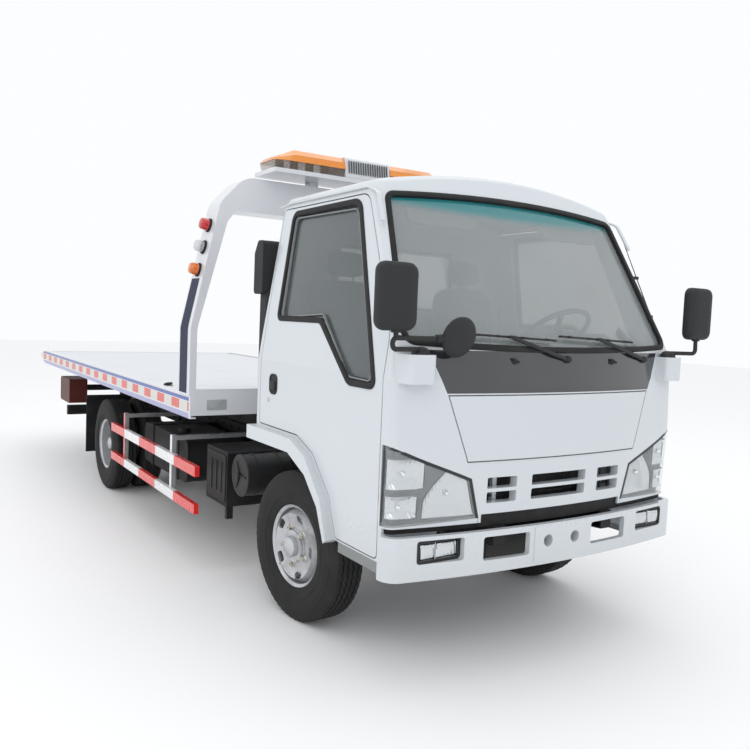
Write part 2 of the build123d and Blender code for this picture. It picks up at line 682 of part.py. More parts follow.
def bumper():
    """Bowed steel bumper wrapped round both corners, with its openings."""
    def plan(grow):
        front = BUMPER_X - grow
        bow = 4950
        half = 925 - grow
        shoulder = front - half * half / (2 * bow)
        edges = [ThreePointArc((shoulder, -half), (front, 0), (shoulder, half)),
                 Line((shoulder, half), (868, half)), Line((868, half), (868, -half)),
                 Line((868, -half), (shoulder, -half))]
        face = make_face(edges)
        corners = face.vertices().filter_by(lambda v: v.X > 900)
        return fillet(corners, 75 - grow)
    whole = extrude(Pos(0, 0, 483) * plan(0), 189) - extrude(Pos(0, 0, 480) * plan(28), 200)
    whole += block(985, BUMPER_X, -172, 172, 500, 665)
    for side in (-1, 1):
        y0, y1 = sorted((side * 200, side * 460))
        whole -= front_prism([(y0, 540), (y1, 540), (y1, 645), (y0, 645)], 850, 1100, 14)
        y0, y1 = sorted((side * 560, side * 790))
        whole -= front_prism([(y0, 555), (y1, 555), (y1, 655), (y0, 655)], 850, 1100, 12)
        whole -= tube((900, side * 87, 592), (1100, side * 87, 592), 28)
    return whole


def fog_lamp():
    face = [(-790 + SEAT, 555 + SEAT), (-560 - SEAT, 555 + SEAT),
            (-560 - SEAT, 655 - SEAT), (-790 + SEAT, 655 - SEAT)]
    return front_prism(face, 925, 965, 12)


# Bed

def subframe():
    """Two box rails, cross members and the long barrel of the slide cylinder."""
    bottom = RAIL_TOP + PAD_H + SEAT
    top = bottom + SUB_H
    line = [(SUB_FRONT_X, bottom), (SUB_FRONT_X, top), (TILT_X - 40, top), (TILT_X - 72, TILT_Z + 20),
            (TILT_X - 72, TILT_Z), (TILT_X - 40, bottom + 22), (TILT_X, bottom)]
    whole = side_prism(line, -RAIL_OUT, -RAIL_OUT + RAIL_W)
    whole += other_side(whole)
    reach = RAIL_OUT - 5
    for x in (SUB_FRONT_X + 60, -3000, -4300):
        whole += block(x - 40, x + 40, -reach, reach, bottom + 20, top - 2)
    beam_x = EYE_X + EYE_R + EYE_PLAY
    whole += block(beam_x, beam_x + 40, -reach, reach, bottom + 10, top - 2)
    for y in (-TILT_CYL_Y, TILT_CYL_Y):
        for side in (-1, 1):
            inner = EYE_W / 2 + LUG_GAP
            y0, y1 = sorted((y + side * inner, y + side * (inner + LUG_T)))
            lug = [(beam_x + 1, bottom + 14), (beam_x + 1, top - 6), (EYE_X + 20, EYE_Z + EYE_R),
                   (EYE_X - 20, EYE_Z + EYE_R), (EYE_X - EYE_R, EYE_Z), (EYE_X - 20, EYE_Z - EYE_R)]
            whole += side_prism(lug, y0, y1)
            whole -= tube((EYE_X, y0 - 1, EYE_Z), (EYE_X, y1 + 1, EYE_Z), EYE_PIN_R)
    for x in (SUB_FRONT_X + 60, -3000, -4300):
        whole += block(x - 30, x + 30, -25, 25, top - 10, BARREL_Z)
    whole += tube((SUB_FRONT_X + 30, 0, BARREL_Z), (-4340, 0, BARREL_Z), BARREL_R)
    whole -= tube((SUB_FRONT_X - 40, 0, BARREL_Z), (-4400, 0, BARREL_Z), ROD_R + SEAT)
    whole -= tube((TILT_X, -500, TILT_Z), (TILT_X, 500, TILT_Z), 18 + SEAT)
    sill = DECK_TOP - DECK_PLATE - CROSS_H - SILL_H
    for side in (-1, 1):
        for x in (-1300, -3100, -4900):
            y0, y1 = sorted((side * (RAIL_OUT - 5), side * (RAIL_OUT - RAIL_W + 5)))
            whole += block(x - 80, x + 80, y0, y1, top - 1, sill - SEAT)
    return whole


def slide_rod():
    """Rod of the slide cylinder with the bracket that pushes the bed."""
    under = DECK_TOP - DECK_PLATE - CROSS_H
    rod = tube((SUB_FRONT_X - 100, 0, BARREL_Z), (-4440, 0, BARREL_Z), ROD_R)
    return rod + block(-4450, -4390, -40, 40, BARREL_Z - 30, under - SEAT)


def deck_floor():
    """Plate on cross members and two long sills, with the sloped tail."""
    top = DECK_TOP
    under = top - DECK_PLATE
    inner = DECK_HALF - SIDE_RAIL_W - SEAT
    floor = block(TAIL_BEAM_X + SEAT, DECK_FRONT - 40, -inner, inner, under, top)
    count = 11
    for index in range(count):
        x = DECK_FRONT - 100 - index * (DECK_FRONT - 160 - TAIL_BEAM_X) / (count - 1)
        floor += block(x - 25, x + 25, -inner, inner, under - CROSS_H, under)
    for side in (-1, 1):
        y0, y1 = sorted((side * RAIL_OUT, side * (RAIL_OUT - RAIL_W)))
        floor += block(TAIL_BEAM_X + 40, DECK_FRONT - 45, y0, y1, under - CROSS_H - SILL_H, under - CROSS_H)
    return floor


def deck_rails():
    """Channel rails along both sides, the front beam and the pointed tail beam."""
    channel = [(-DECK_HALF, RAIL_LOW), (-DECK_HALF + SIDE_RAIL_W, RAIL_LOW),
               (-DECK_HALF + SIDE_RAIL_W, RAIL_LOW + 8), (-DECK_HALF + 8, RAIL_LOW + 8),
               (-DECK_HALF + 8, RAIL_HIGH - 8), (-DECK_HALF + SIDE_RAIL_W, RAIL_HIGH - 8),
               (-DECK_HALF + SIDE_RAIL_W, RAIL_HIGH), (-DECK_HALF, RAIL_HIGH)]
    side = front_prism(channel, TAIL_BEAM_X - 5, DECK_FRONT)
    whole = side + other_side(side)
    whole += block(DECK_FRONT - 40 + SEAT, DECK_FRONT, -DECK_HALF, DECK_HALF, 943, RAIL_HIGH)
    notch = BARREL_R + 2 * MOVE_GAP
    whole -= block(DECK_FRONT - 50, DECK_FRONT + 1, -notch, notch, 940, BARREL_Z + BARREL_R + MOVE_GAP)
    inner = -GANTRY_IN[-1][0] - SEAT
    whole += block(DECK_FRONT - 40 + SEAT, DECK_FRONT, -inner, inner, RAIL_HIGH, 1105)
    tail = [(TAIL_BEAM_X, RAIL_LOW), (TAIL_BEAM_X, DECK_TOP + 3), (-5780, DECK_TOP + 3),
            (TAIL_X, 1012), (TAIL_X, 996), (-5770, RAIL_LOW)]
    return whole + side_prism(tail, -DECK_HALF, DECK_HALF)


GANTRY_OUT = [(-1108, RAIL_HIGH), (-1108, 1477), (-940, 2245), (-785, 2410)]
GANTRY_IN = [(-840, 2200), (-892, 2130), (-1066, 1477), (-1066, RAIL_HIGH)]


def gantry():
    """Portal of bent plate boxes over the front of the bed."""
    x0 = DECK_FRONT - GANTRY_D
    out = GANTRY_OUT + [(785, 2410), (940, 2245), (1108, 1477), (1108, RAIL_HIGH)]
    inn = [(1066, RAIL_HIGH), (1066, 1477), (892, 2130), (840, 2200)] + GANTRY_IN
    plane = Plane(origin=(x0, 0, 0), x_dir=(0, 1, 0), z_dir=(1, 0, 0))
    outer = make_face(FilletPolyline(*out, radius=[1, 220, 150, 150, 150, 150, 220, 1], close=True))
    inner = make_face(FilletPolyline(*inn, radius=[1, 220, 60, 20, 20, 60, 220, 1], close=True))
    return extrude(plane * (outer - inner), GANTRY_D)


def gantry_lamp(height):
    """One lamp on the sloping outer face of the right leg."""
    share = (height - 1477) / (2245 - 1477)
    y = -1108 + share * 168
    slope = atan2(168, 768)
    out = Vector(0, -cos(slope), sin(slope))
    start = Vector(DECK_FRONT - GANTRY_D / 2, y, height) + out * 0.3
    return tube(tuple(start), tuple(start + out * 62), 36)


def light_bar_base():
    """Tray on two feet with the loudspeaker box in the middle."""
    tray = block(LIGHT_X0, LIGHT_X1, -LIGHT_HALF, LIGHT_HALF, LIGHT_Z0, LIGHT_Z0 + 26)
    speaker = side_prism([(LIGHT_X0 + 10, LIGHT_Z0 + 20), (LIGHT_X1 - 8, LIGHT_Z0 + 20),
                          (LIGHT_X1 - 30, LIGHT_Z1), (LIGHT_X0 + 35, LIGHT_Z1)], -170, 170, 20)
    for y in (-300, 300):
        tray += block(-1060, -990, y - 30, y + 30, 2410 + SEAT, LIGHT_Z0 + 1)
    return tray + speaker


def light_bar_lens():
    """Right lens, wedge shaped towards its outer end."""
    lens = side_prism([(LIGHT_X0 + 4, LIGHT_Z0 + 26.3), (LIGHT_X1 - 4, LIGHT_Z0 + 26.3),
                       (LIGHT_X1 - 34, LIGHT_Z1 - 6),
                       (LIGHT_X0 + 34, LIGHT_Z1 - 6)], -LIGHT_HALF + 4, -170 - SEAT, 18)
    return lens - Pos(LIGHT_X0, -LIGHT_HALF - 20, LIGHT_Z1) * Rot(-52, 0, 0) * Box(900, 200, 60)


def winch():
    """Cradle, drum and gearcase behind the gantry."""
    x, z = -1400, DECK_TOP + 145
    cradle = block(x - 130, x + 130, -330, 330, DECK_TOP + SEAT, DECK_TOP + 20)
    for y in (-320, 290):
        cradle += block(x - 110, x + 110, y, y + 30, DECK_TOP + 20, z + 100)
    cradle += tube((x, 320, z), (x, 430, z), 90)
    return cradle - tube((x, -340, z), (x, 325, z), 22)


def winch_drum():
    """Flanged drum with its wound rope."""
    x, z = -1400, DECK_TOP + 145
    drum = tube((x, -284, z), (x, 284, z), 62) + tube((x, -284, z), (x, -272, z), 98)
    drum += tube((x, 272, z), (x, 284, z), 98)
    return drum + tube((x, -318, z), (x, 318, z), 21)


# Tilt cylinders

def cylinder_axis():
    dx, dz = EYE_X - FOOT_X, EYE_Z - FOOT_Z
    length = hypot(dx, dz)
    return Vector(dx / length, 0, dz / length), length


def tilt_barrel(y):
    """Barrel with its lower eye round the foot pin."""
    along, length = cylinder_axis()
    foot = Vector(FOOT_X, y, FOOT_Z)
    barrel = tube(tuple(foot + along * 45), tuple(foot + along * (length - 330)), TILT_BARREL_R)
    barrel += tube((FOOT_X, y - 30, FOOT_Z), (FOOT_X, y + 30, FOOT_Z), 34)
    barrel += tube(tuple(foot + along * 25), tuple(foot + along * 60), 30)
    bore = tube(tuple(foot + along * 90), tuple(foot + along * length), TILT_ROD_R + SEAT)
    return barrel - bore - tube((FOOT_X, y - 50, FOOT_Z), (FOOT_X, y + 50, FOOT_Z), 16 + SEAT)


def tilt_rod(y):
    """Rod with its upper eye and the pin pressed into it, held between the subframe's lugs."""
    along, length = cylinder_axis()
    foot = Vector(FOOT_X, y, FOOT_Z)
    rod = tube(tuple(foot + along * 150), tuple(foot + along * (length - 30)), TILT_ROD_R)
    half = EYE_W / 2
    pin = half + EYE_PIN_OUT
    rod += tube((EYE_X, y - half, EYE_Z), (EYE_X, y + half, EYE_Z), EYE_R)
    return rod + tube((EYE_X, y - pin, EYE_Z), (EYE_X, y + pin, EYE_Z), EYE_PIN_R - SEAT)


def at_wheel(x, y, steer=0.0):
    """Location of a wheel's centre, its outer face towards -Y."""
    return Pos(x, y, TYRE_R) * Rot(0, 0, steer)


def steered(shape, y_side):
    """Turns a piece by the parked steering angle about its kingpin."""
    pin = y_side * KINGPIN_Y
    return Pos(0, pin, 0) * Rot(0, 0, REST_STEER) * Pos(0, -pin, 0) * shape


def build():
    """Every piece by name, at rest."""
    hull = cab_hull()
    cavity = cab_hull(WALL)
    skin = glass_skin()
    parts = {}
    shell = front_recesses(cab_shell(hull, cavity), hull)
    shell += mirror_pod() + other_side(mirror_pod())
    for leaf in hinge_leaves():
        shell += leaf + other_side(leaf)
    for stop in lid_stops():
        shell += stop
    for side in (-1, 1):
        y = side * 335
        lug = tube((PIVOT_X, y - 12, PIVOT_Z), (PIVOT_X, y + 12, PIVOT_Z), 20)
        lug += side_prism([(908, 700), (930, 734), (918, 736), (918, TUNNEL_TOP + 30),
                           (862, TUNNEL_TOP + 30), (862, 800)], y - 12, y + 12)
        shell += lug - tube((PIVOT_X, y - 20, PIVOT_Z), (PIVOT_X, y + 20, PIVOT_Z), PIVOT_R + SEAT)
    parts["cab_shell"] = shell
    screen = skin & front_tool(windscreen_face(-SEAT), 400, 1100)
    back_glass = front_prism(REAR_WINDOW, CAB_SECTIONS[4][1] + 18, CAB_SECTIONS[4][1] + 23, 50, -SEAT)
    parts["cab_glass"] = [screen, back_glass]
    parts["grille"] = grille(hull)
    parts["headlamps"] = both(headlamp(hull))
    parts["front_lid"] = front_lid(hull)
    parts["front_panel"] = garnish(hull)
    panel = door_panel(hull, cavity)
    glass = skin & side_window(-SEAT)
    parts["door_right"] = panel
    parts["door_left"] = other_side(panel)
    parts["door_glass_right"] = glass
    parts["door_glass_left"] = other_side(glass)
    parts["wheel_arches"] = both(wheel_arch())
    parts["cab_steps"] = both(step())
    dash = dashboard()
    parts["dashboard"] = dash
    parts["seats"] = [seat(-430), seat(430)]
    parts["steering_wheel"] = steering_wheel(400) - dash
    parts["mirrors"] = [mirror_set() + round_mirror(), other_side(mirror_set())]
    parts["wipers"] = [wiper(20, 600) - hull, wiper(610, 620) - hull]
    parts["intake_duct"] = intake_duct()
    parts["frame"] = frame()
    parts["front_axle"] = front_axle()
    parts["rear_axle"] = rear_axle()
    front = leaf_spring(0, FRONT_SPRING_HALF, FRONT_SPRING_Z + SEAT, SPRING_EYE_Z, 50)
    rear = leaf_spring(-WHEELBASE, REAR_SPRING_HALF, TYRE_R + AXLE_R + SEAT, SPRING_EYE_Z, 60)
    parts["leaf_springs"] = both(front) + both(rear)
    parts["engine"] = engine()
    parts["radiator"] = radiator()
    parts["driveshaft"] = driveshaft() - engine() - rear_axle()
    parts["exhaust"] = exhaust()
    parts["fuel_tank"] = fuel_tank()
    parts["tool_box"] = tool_box()
    parts["air_cleaner"] = air_cleaner()
    parts["side_guards"] = both(side_guard())
    parts["mud_flaps"] = both(mud_flap())
    parts["tail_lamps"] = both(tail_lamp())
    parts["under_run_bar"] = under_run()
    parts["front_bumper"] = bumper()
    parts["fog_lamps"] = both(fog_lamp())
    parts["knuckle_right"] = steered(knuckle(), -1)
    parts["knuckle_left"] = steered(other_side(knuckle()), 1)
    tyre, rim = tyre_ring(0), front_rim()
    twins = [tyre_ring(-TWIN_PITCH / 2), tyre_ring(TWIN_PITCH / 2)]
    twin_rim = rear_rim()
    for name, side in (("right", -1), ("left", 1)):
        spot = at_wheel(0, -FRONT_TRACK / 2)
        front_pair = [spot * tyre, spot * rim]
        back = at_wheel(-WHEELBASE, -REAR_TRACK / 2)
        rear_tyres, rear_disc = [back * ring for ring in twins], back * twin_rim
        if side > 0:
            front_pair = [other_side(piece) for piece in front_pair]
            rear_tyres = [other_side(piece) for piece in rear_tyres]
            rear_disc = other_side(rear_disc)
        parts["tyre_front_" + name] = steered(front_pair[0], side)
        parts["rim_front_" + name] = steered(front_pair[1], side)
        parts["tyres_rear_" + name] = rear_tyres
        parts["rim_rear_" + name] = rear_disc
    parts["subframe"] = subframe()
    parts["slide_rod"] = slide_rod()
    parts["deck_floor"] = deck_floor()
    parts["deck_rails"] = deck_rails()
    parts["gantry"] = gantry()
    lamps = [gantry_lamp(height) for height in (1830, 1970, 2105)]
    parts["gantry_lamps"] = lamps + [other_side(lamp) for lamp in lamps]
    parts["light_bar_base"] = light_bar_base()
    parts["light_bar_lenses"] = both(light_bar_lens())
    parts["winch"] = winch()
    parts["winch_drum"] = winch_drum()
    parts["tilt_barrels"] = [tilt_barrel(-TILT_CYL_Y), tilt_barrel(TILT_CYL_Y)]
    parts["tilt_rods"] = [tilt_rod(-TILT_CYL_Y), tilt_rod(TILT_CYL_Y)]
    return parts


def write(parts):
    """Moves every piece into the row's frame and writes it."""
    os.makedirs("parts", exist_ok=True)
    shift = Pos(-(BUMPER_X + TAIL_X) / 2, 0, 0)
    for name, shape in parts.items():
        pieces = shape if isinstance(shape, list) else [shape]
        solids = [solid for piece in pieces for solid in (shift * piece).solids()]
        export_step(Compound(children=solids) if len(solids) > 1 else solids[0], f"parts/{name}.step")
        print(name, len(solids), round(sum(solid.volume for solid in solids)))


write(build())
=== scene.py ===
"""Looks of a flatbed tow truck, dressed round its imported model.

Every size is in metres. Forward places are measured from the front axle by place().
"""

import math

import bmesh
import bpy
from bpy.props import FloatProperty, FloatVectorProperty, IntProperty, PointerProperty
from mathutils import Matrix, Vector


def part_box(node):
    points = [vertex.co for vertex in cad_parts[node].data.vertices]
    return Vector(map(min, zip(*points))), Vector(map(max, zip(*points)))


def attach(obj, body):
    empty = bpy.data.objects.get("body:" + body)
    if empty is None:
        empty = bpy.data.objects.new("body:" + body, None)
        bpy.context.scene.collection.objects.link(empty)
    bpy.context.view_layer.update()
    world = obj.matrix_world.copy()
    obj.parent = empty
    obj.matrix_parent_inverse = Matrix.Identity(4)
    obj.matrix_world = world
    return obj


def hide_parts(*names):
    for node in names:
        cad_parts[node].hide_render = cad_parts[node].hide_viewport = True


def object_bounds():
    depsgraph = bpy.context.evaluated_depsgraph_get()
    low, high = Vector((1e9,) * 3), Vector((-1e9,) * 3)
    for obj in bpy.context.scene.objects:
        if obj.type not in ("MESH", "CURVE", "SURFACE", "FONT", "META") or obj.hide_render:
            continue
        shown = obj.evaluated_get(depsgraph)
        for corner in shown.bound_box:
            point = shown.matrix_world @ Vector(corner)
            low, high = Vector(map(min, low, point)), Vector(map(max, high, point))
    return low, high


bl_info = {
    "name": "Flatbed tow truck",
    "version": (1, 0, 0),
    "blender": (4, 5, 0),
    "location": "View3D > Sidebar > Tow truck",
    "description": "Paint, glass, lamps, tyres, seats and trim of a flatbed tow truck",
    "category": "Object",
}

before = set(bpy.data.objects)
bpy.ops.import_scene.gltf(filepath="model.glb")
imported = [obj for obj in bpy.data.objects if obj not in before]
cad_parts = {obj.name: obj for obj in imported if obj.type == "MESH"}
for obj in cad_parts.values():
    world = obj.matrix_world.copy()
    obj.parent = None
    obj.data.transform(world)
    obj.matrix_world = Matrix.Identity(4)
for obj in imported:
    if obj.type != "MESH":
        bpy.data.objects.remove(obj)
CAD_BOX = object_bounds()
AXLE_X = sum(corner.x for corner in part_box("front_axle")) / 2
CASING_SHIFT = 0.06   # about how far the middle of the rear axle's box lies ahead of its wheels
REAR_AXLE_X = sum(corner.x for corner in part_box("rear_axle")) / 2 - CASING_SHIFT - AXLE_X

# Cab outline: height, foremost x, half width
CAB_LINES = (
    (0.545, 0.985, 0.903), (0.700, 0.990, 0.905), (1.005, 1.000, 0.907),
    (1.330, 0.990, 0.907), (1.475, 0.972, 0.887), (2.170, 0.592, 0.790),
)
BOW_R = 4.6
SIDE_WINDOW = ((-0.258, 2.117), (0.412, 2.120), (0.768, 1.292), (0.556, 1.292),
               (0.215, 1.563), (-0.256, 1.563))
SIDE_WINDOW_RADII = (0.035, 0.075, 0.026, 0.070, 0.080, 0.030)
TYRE_R = 0.389
REST_STEER = math.radians(6)
KINGPIN_Y = 0.700
FRONT_WHEEL_Y = 0.800
TWIN_Y = (0.695, 0.925)
GANTRY_X = (-1.175, -0.975)
SIDES = ((-1, "right"), (1, "left"))

# Camera, fitted to the photograph
PHOTO_WIDTH, PHOTO_HEIGHT = 750, 749
AXIS_PIXEL = (371.4, 371.6)
CAMERA_PLACE = (3.532, -2.699, 1.585)
CAMERA_YAW = math.radians(147.33)
CAMERA_PITCH = math.radians(-4.012)
CAMERA_ROLL = 0.0413


# Places

def place(x, y, z):
    """A point in the row frame, x measured forward from the front axle."""
    return Vector((AXLE_X + x, y, z))


def cab_line(z, column):
    """Foremost x or half width of the cab at a height."""
    for low, high in zip(CAB_LINES, CAB_LINES[1:]):
        if z <= high[0] or high is CAB_LINES[-1]:
            share = (z - low[0]) / (high[0] - low[0])
            return low[column] + share * (high[column] - low[column])


def cab_nose(y, z):
    """x of the cab's bowed front."""
    return cab_line(z, 1) - y * y / (2 * BOW_R)


def on_side(side, x, z, out=0.0):
    """A point on the cab's side, side -1 for the right."""
    return place(x, side * (cab_line(z, 2) + out), z)


def on_front(y, z, out=0.0):
    return place(cab_nose(y, z) + out, y, z)


def rounded(corners, radii, steps=6, closed=True):
    """Points along an outline or a route whose corners are arcs."""
    points = []
    count = len(corners)
    for index, corner in enumerate(corners):
        here = Vector(corner)
        if not closed and index in (0, count - 1):
            points.append(here)
            continue
        back = Vector(corners[index - 1]) - here
        ahead = Vector(corners[(index + 1) % count]) - here
        radius = radii[index] if hasattr(radii, "__len__") else radii
        half = back.angle(ahead) / 2
        reach = min(radius / math.tan(half), 0.49 * min(back.length, ahead.length))
        if reach < 1e-6 or half > 1.56:
            points.append(here)
            continue
        radius = reach * math.tan(half)
        middle = here + (back.normalized() + ahead.normalized()).normalized() * radius / math.sin(half)
        start = here + back.normalized() * reach - middle
        end = here + ahead.normalized() * reach - middle
        turn = start.angle(end)
        for step in range(steps + 1):
            share = step / steps
            points.append(middle + (start * math.sin((1 - share) * turn) + end * math.sin(share * turn))
                          / math.sin(turn))
    return points


def rectangle(x0, y0, x1, y1):
    """Corners of a rectangle from two opposite ones."""
    return ((x0, y0), (x1, y0), (x1, y1), (x0, y1))


def hexagon(radius, z):
    """Corners of a flat hexagon."""
    return [(math.cos(math.radians(a)) * radius, math.sin(math.radians(a)) * radius, z)
            for a in range(0, 360, 60)]


def bead(half, low, high):
    """Square section of a strip: half its width, and its low and high side over the surface."""
    return ((-half, low), (-half, high), (half, high), (half, low))


# Shapes

def mesh_of(bm, name):
    """A mesh from a bmesh, which is freed."""
    mesh = bpy.data.meshes.new(name)
    bm.to_mesh(mesh)
    bm.free()
    return mesh


def linked(name, mesh):
    """A new object in the scene."""
    made = bpy.data.objects.new(name, mesh)
    bpy.context.scene.collection.objects.link(made)
    return made


def evaluated_mesh(piece):
    """A copy of an object's mesh with its modifiers applied."""
    depsgraph = bpy.context.evaluated_depsgraph_get()
    return bpy.data.meshes.new_from_object(piece.evaluated_get(depsgraph))


class Shape:
    """One mesh built from swept strips, lathed rings, plates and blocks."""

    def __init__(self):
        self.bm = bmesh.new()

    def skin(self, rings, closed=False):
        """Joins rings of equal length with quads, capped at both ends unless they close."""
        rows = [[self.bm.verts.new(point) for point in ring] for ring in rings]
        pairs = list(zip(rows, rows[1:])) + ([(rows[-1], rows[0])] if closed else [])
        for one, two in pairs:
            for index in range(len(one)):
                after = (index + 1) % len(one)
                self.bm.faces.new((one[index], one[after], two[after], two[index]))
        if not closed:
            self.bm.faces.new(rows[0][::-1])
            self.bm.faces.new(rows[-1])
        return self

    def lathe(self, profile, centre, axis, steps=48):
        """Turns a closed profile of (radius, height) round an axis."""
        axis = Vector(axis).normalized()
        side = axis.orthogonal().normalized()
        other = axis.cross(side)
        rings = []
        for step in range(steps):
            angle = 2 * math.pi * step / steps
            out = side * math.cos(angle) + other * math.sin(angle)
            rings.append([Vector(centre) + out * r + axis * h for r, h in profile])
        return self.skin(rings, True)

    def rod(self, start, end, radius, steps=16, tip=None):
        length = (Vector(end) - Vector(start)).length
        tip = radius if tip is None else tip
        profile = ((0, 0), (radius, 0), (tip, length), (0, length))
        return self.lathe(profile, start, Vector(end) - Vector(start), steps)

    def pipe(self, route, radius, bend=0.0, steps=12, closed=False):
        """A round bar along a route with rounded corners."""
        points = rounded(route, bend, 6, closed) if bend else [Vector(p) for p in route]
        count = len(points)
        rings = []
        side = None
        for index, point in enumerate(points):
            before = points[index - 1] if index or closed else point
            after = points[(index + 1) % count] if index < count - 1 or closed else point
            along = (after - before).normalized()
            side = (side - along * side.dot(along)).normalized() if side else along.orthogonal().normalized()
            other = along.cross(side)
            turns = [2 * math.pi * step / steps for step in range(steps)]
            rings.append([point + (side * math.cos(a) + other * math.sin(a)) * radius for a in turns])
        return self.skin(rings, closed)

    def strip(self, path, outward, profile, closed=True):
        """Carries a profile of (across, out) along points that lie on a surface."""
        count = len(path)
        rings = []
        for index, point in enumerate(path):
            before = path[index - 1] if index or closed else point
            after = path[(index + 1) % count] if index < count - 1 or closed else point
            out = outward[index] if isinstance(outward, list) else outward
            out = Vector(out).normalized()
            across = (after - before).normalized().cross(out).normalized()
            rings.append([point + across * a + out * b for a, b in profile])
        return self.skin(rings, closed)

    def plate(self, face, back):
        """A plate between an outline and its copy moved by a vector."""
        face = [Vector(point) for point in face]
        return self.skin([face, [point + Vector(back) for point in face]])

    def block(self, low, high):
        (x0, y0, z0), (x1, y1, z1) = low, high
        face = [Vector((x0, y0, z0)), Vector((x1, y0, z0)), Vector((x1, y1, z0)), Vector((x0, y1, z0))]
        return self.plate(face, (0, 0, z1 - z0))

    def piece(self, name, body, finish, slot, replaces=(), bevel=0.0, smooth=40):
        """Finishes the mesh and lets it ride on a body."""
        bmesh.ops.remove_doubles(self.bm, verts=self.bm.verts, dist=1e-5)
        bmesh.ops.dissolve_degenerate(self.bm, edges=self.bm.edges, dist=1e-6)
        bmesh.ops.recalc_face_normals(self.bm, faces=self.bm.faces)
        piece = linked(name, mesh_of(self.bm, name))
        return settle(piece, body, finish, replaces, bevel, smooth)


def settle(piece, body, finish, replaces=(), bevel=0.0, smooth=40, levels=0):
    """Gives a piece its finish and rides it on a body."""
    piece.data.materials.clear()
    piece.data.materials.append(FINISHES[finish])
    piece.data.shade_smooth()
    piece.data.set_sharp_from_angle(angle=math.radians(smooth))
    if bevel:
        edge = piece.modifiers.new("Rounded edges", "BEVEL")
        edge.width = bevel
        edge.segments = 2
        edge.limit_method = "ANGLE"
        edge.angle_limit = math.radians(smooth)
    if levels:
        crown = piece.modifiers.new("Smooth form", "SUBSURF")
        crown.levels = crown.render_levels = levels
    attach(piece, body)
    if replaces:
        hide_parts(*replaces)
    return piece


def repeated(name, body, finish, model, points, turns, smooth=40):
    """Geometry Nodes put a small model at every point, turned as each point says."""
    mesh = bpy.data.meshes.new(name + "_places")
    mesh.from_pydata([tuple(p) for p in points], [], [])
    turn = mesh.attributes.new("turn", "FLOAT_VECTOR", "POINT")
    for index, value in enumerate(turns):
        turn.data[index].vector = value
    holder = linked(name + "_holder", mesh)
    tree = bpy.data.node_groups.new(name + "_layout", "GeometryNodeTree")
    tree.interface.new_socket("Geometry", in_out="INPUT", socket_type="NodeSocketGeometry")
    size = tree.interface.new_socket("Size", in_out="INPUT", socket_type="NodeSocketFloat")
    size.default_value = 1.0
    tree.interface.new_socket("Geometry", in_out="OUTPUT", socket_type="NodeSocketGeometry")
    entry = tree.nodes.new("NodeGroupInput")
    leave = tree.nodes.new("NodeGroupOutput")
    source = tree.nodes.new("GeometryNodeObjectInfo")
    source.inputs["Object"].default_value = model
    turned = tree.nodes.new("GeometryNodeInputNamedAttribute")
    turned.data_type = "FLOAT_VECTOR"
    turned.inputs["Name"].default_value = "turn"
    copies = tree.nodes.new("GeometryNodeInstanceOnPoints")
    real = tree.nodes.new("GeometryNodeRealizeInstances")
    painted = tree.nodes.new("GeometryNodeSetMaterial")
    painted.inputs["Material"].default_value = FINISHES[finish]
    wires = (
        (entry.outputs["Geometry"], copies.inputs["Points"]),
        (source.outputs["Geometry"], copies.inputs["Instance"]),
        (turned.outputs["Attribute"], copies.inputs["Rotation"]),
        (entry.outputs["Size"], copies.inputs["Scale"]),
        (copies.outputs["Instances"], real.inputs["Geometry"]),
        (real.outputs["Geometry"], painted.inputs["Geometry"]),
        (painted.outputs["Geometry"], leave.inputs["Geometry"]),
    )
    for start, end in wires:
        tree.links.new(start, end)
    layout = holder.modifiers.new("Layout", "NODES")
    layout.node_group = tree
    layout[size.identifier] = 1.0
    result = evaluated_mesh(holder)
    holder.modifiers.remove(layout)
    bpy.data.objects.remove(holder)
    bpy.data.objects.remove(model)
    result.name = name
    return settle(linked(name, result), body, finish, smooth=smooth)


def model_of(shape, name):
    """A small mesh object at the origin for repeated()."""
    bmesh.ops.remove_doubles(shape.bm, verts=shape.bm.verts, dist=1e-6)
    bmesh.ops.recalc_face_normals(shape.bm, faces=shape.bm.faces)
    return linked(name, mesh_of(shape.bm, name))


# Materials

class Wire:
    """A shader socket on which Python's operators add Math nodes."""

    def __init__(self, finish, socket):
        self.finish = finish
        self.socket = socket

    def math(self, operation, one, two=None):
        values = {0: one} if two is None else {0: one, 1: two}
        return self.finish.node("ShaderNodeMath", {"operation": operation}, values)

    def __add__(self, other):
        return self.math("ADD", self, other)

    __radd__ = __add__

    def __mul__(self, other):
        return self.math("MULTIPLY", self, other)

    __rmul__ = __mul__

    def __sub__(self, other):
        return self.math("SUBTRACT", self, other)

    def __rsub__(self, other):
        return self.math("SUBTRACT", other, self)

    def __truediv__(self, other):
        return self.math("DIVIDE", self, other)

    def __mod__(self, other):
        return self.math("FLOORED_MODULO", self, other)

    def __gt__(self, other):
        return self.math("GREATER_THAN", self, other)

    def __lt__(self, other):
        return self.math("LESS_THAN", self, other)

    def __abs__(self):
        return self.math("ABSOLUTE", self)

    def sine(self):
        return self.math("SINE", self)

    def rise(self, low, high):
        """0 below low, 1 above high, smooth between."""
        settings = {"interpolation_type": "SMOOTHSTEP"}
        return self.finish.node("ShaderNodeMapRange", settings, {0: self, 1: low, 2: high, 3: 0.0, 4: 1.0})


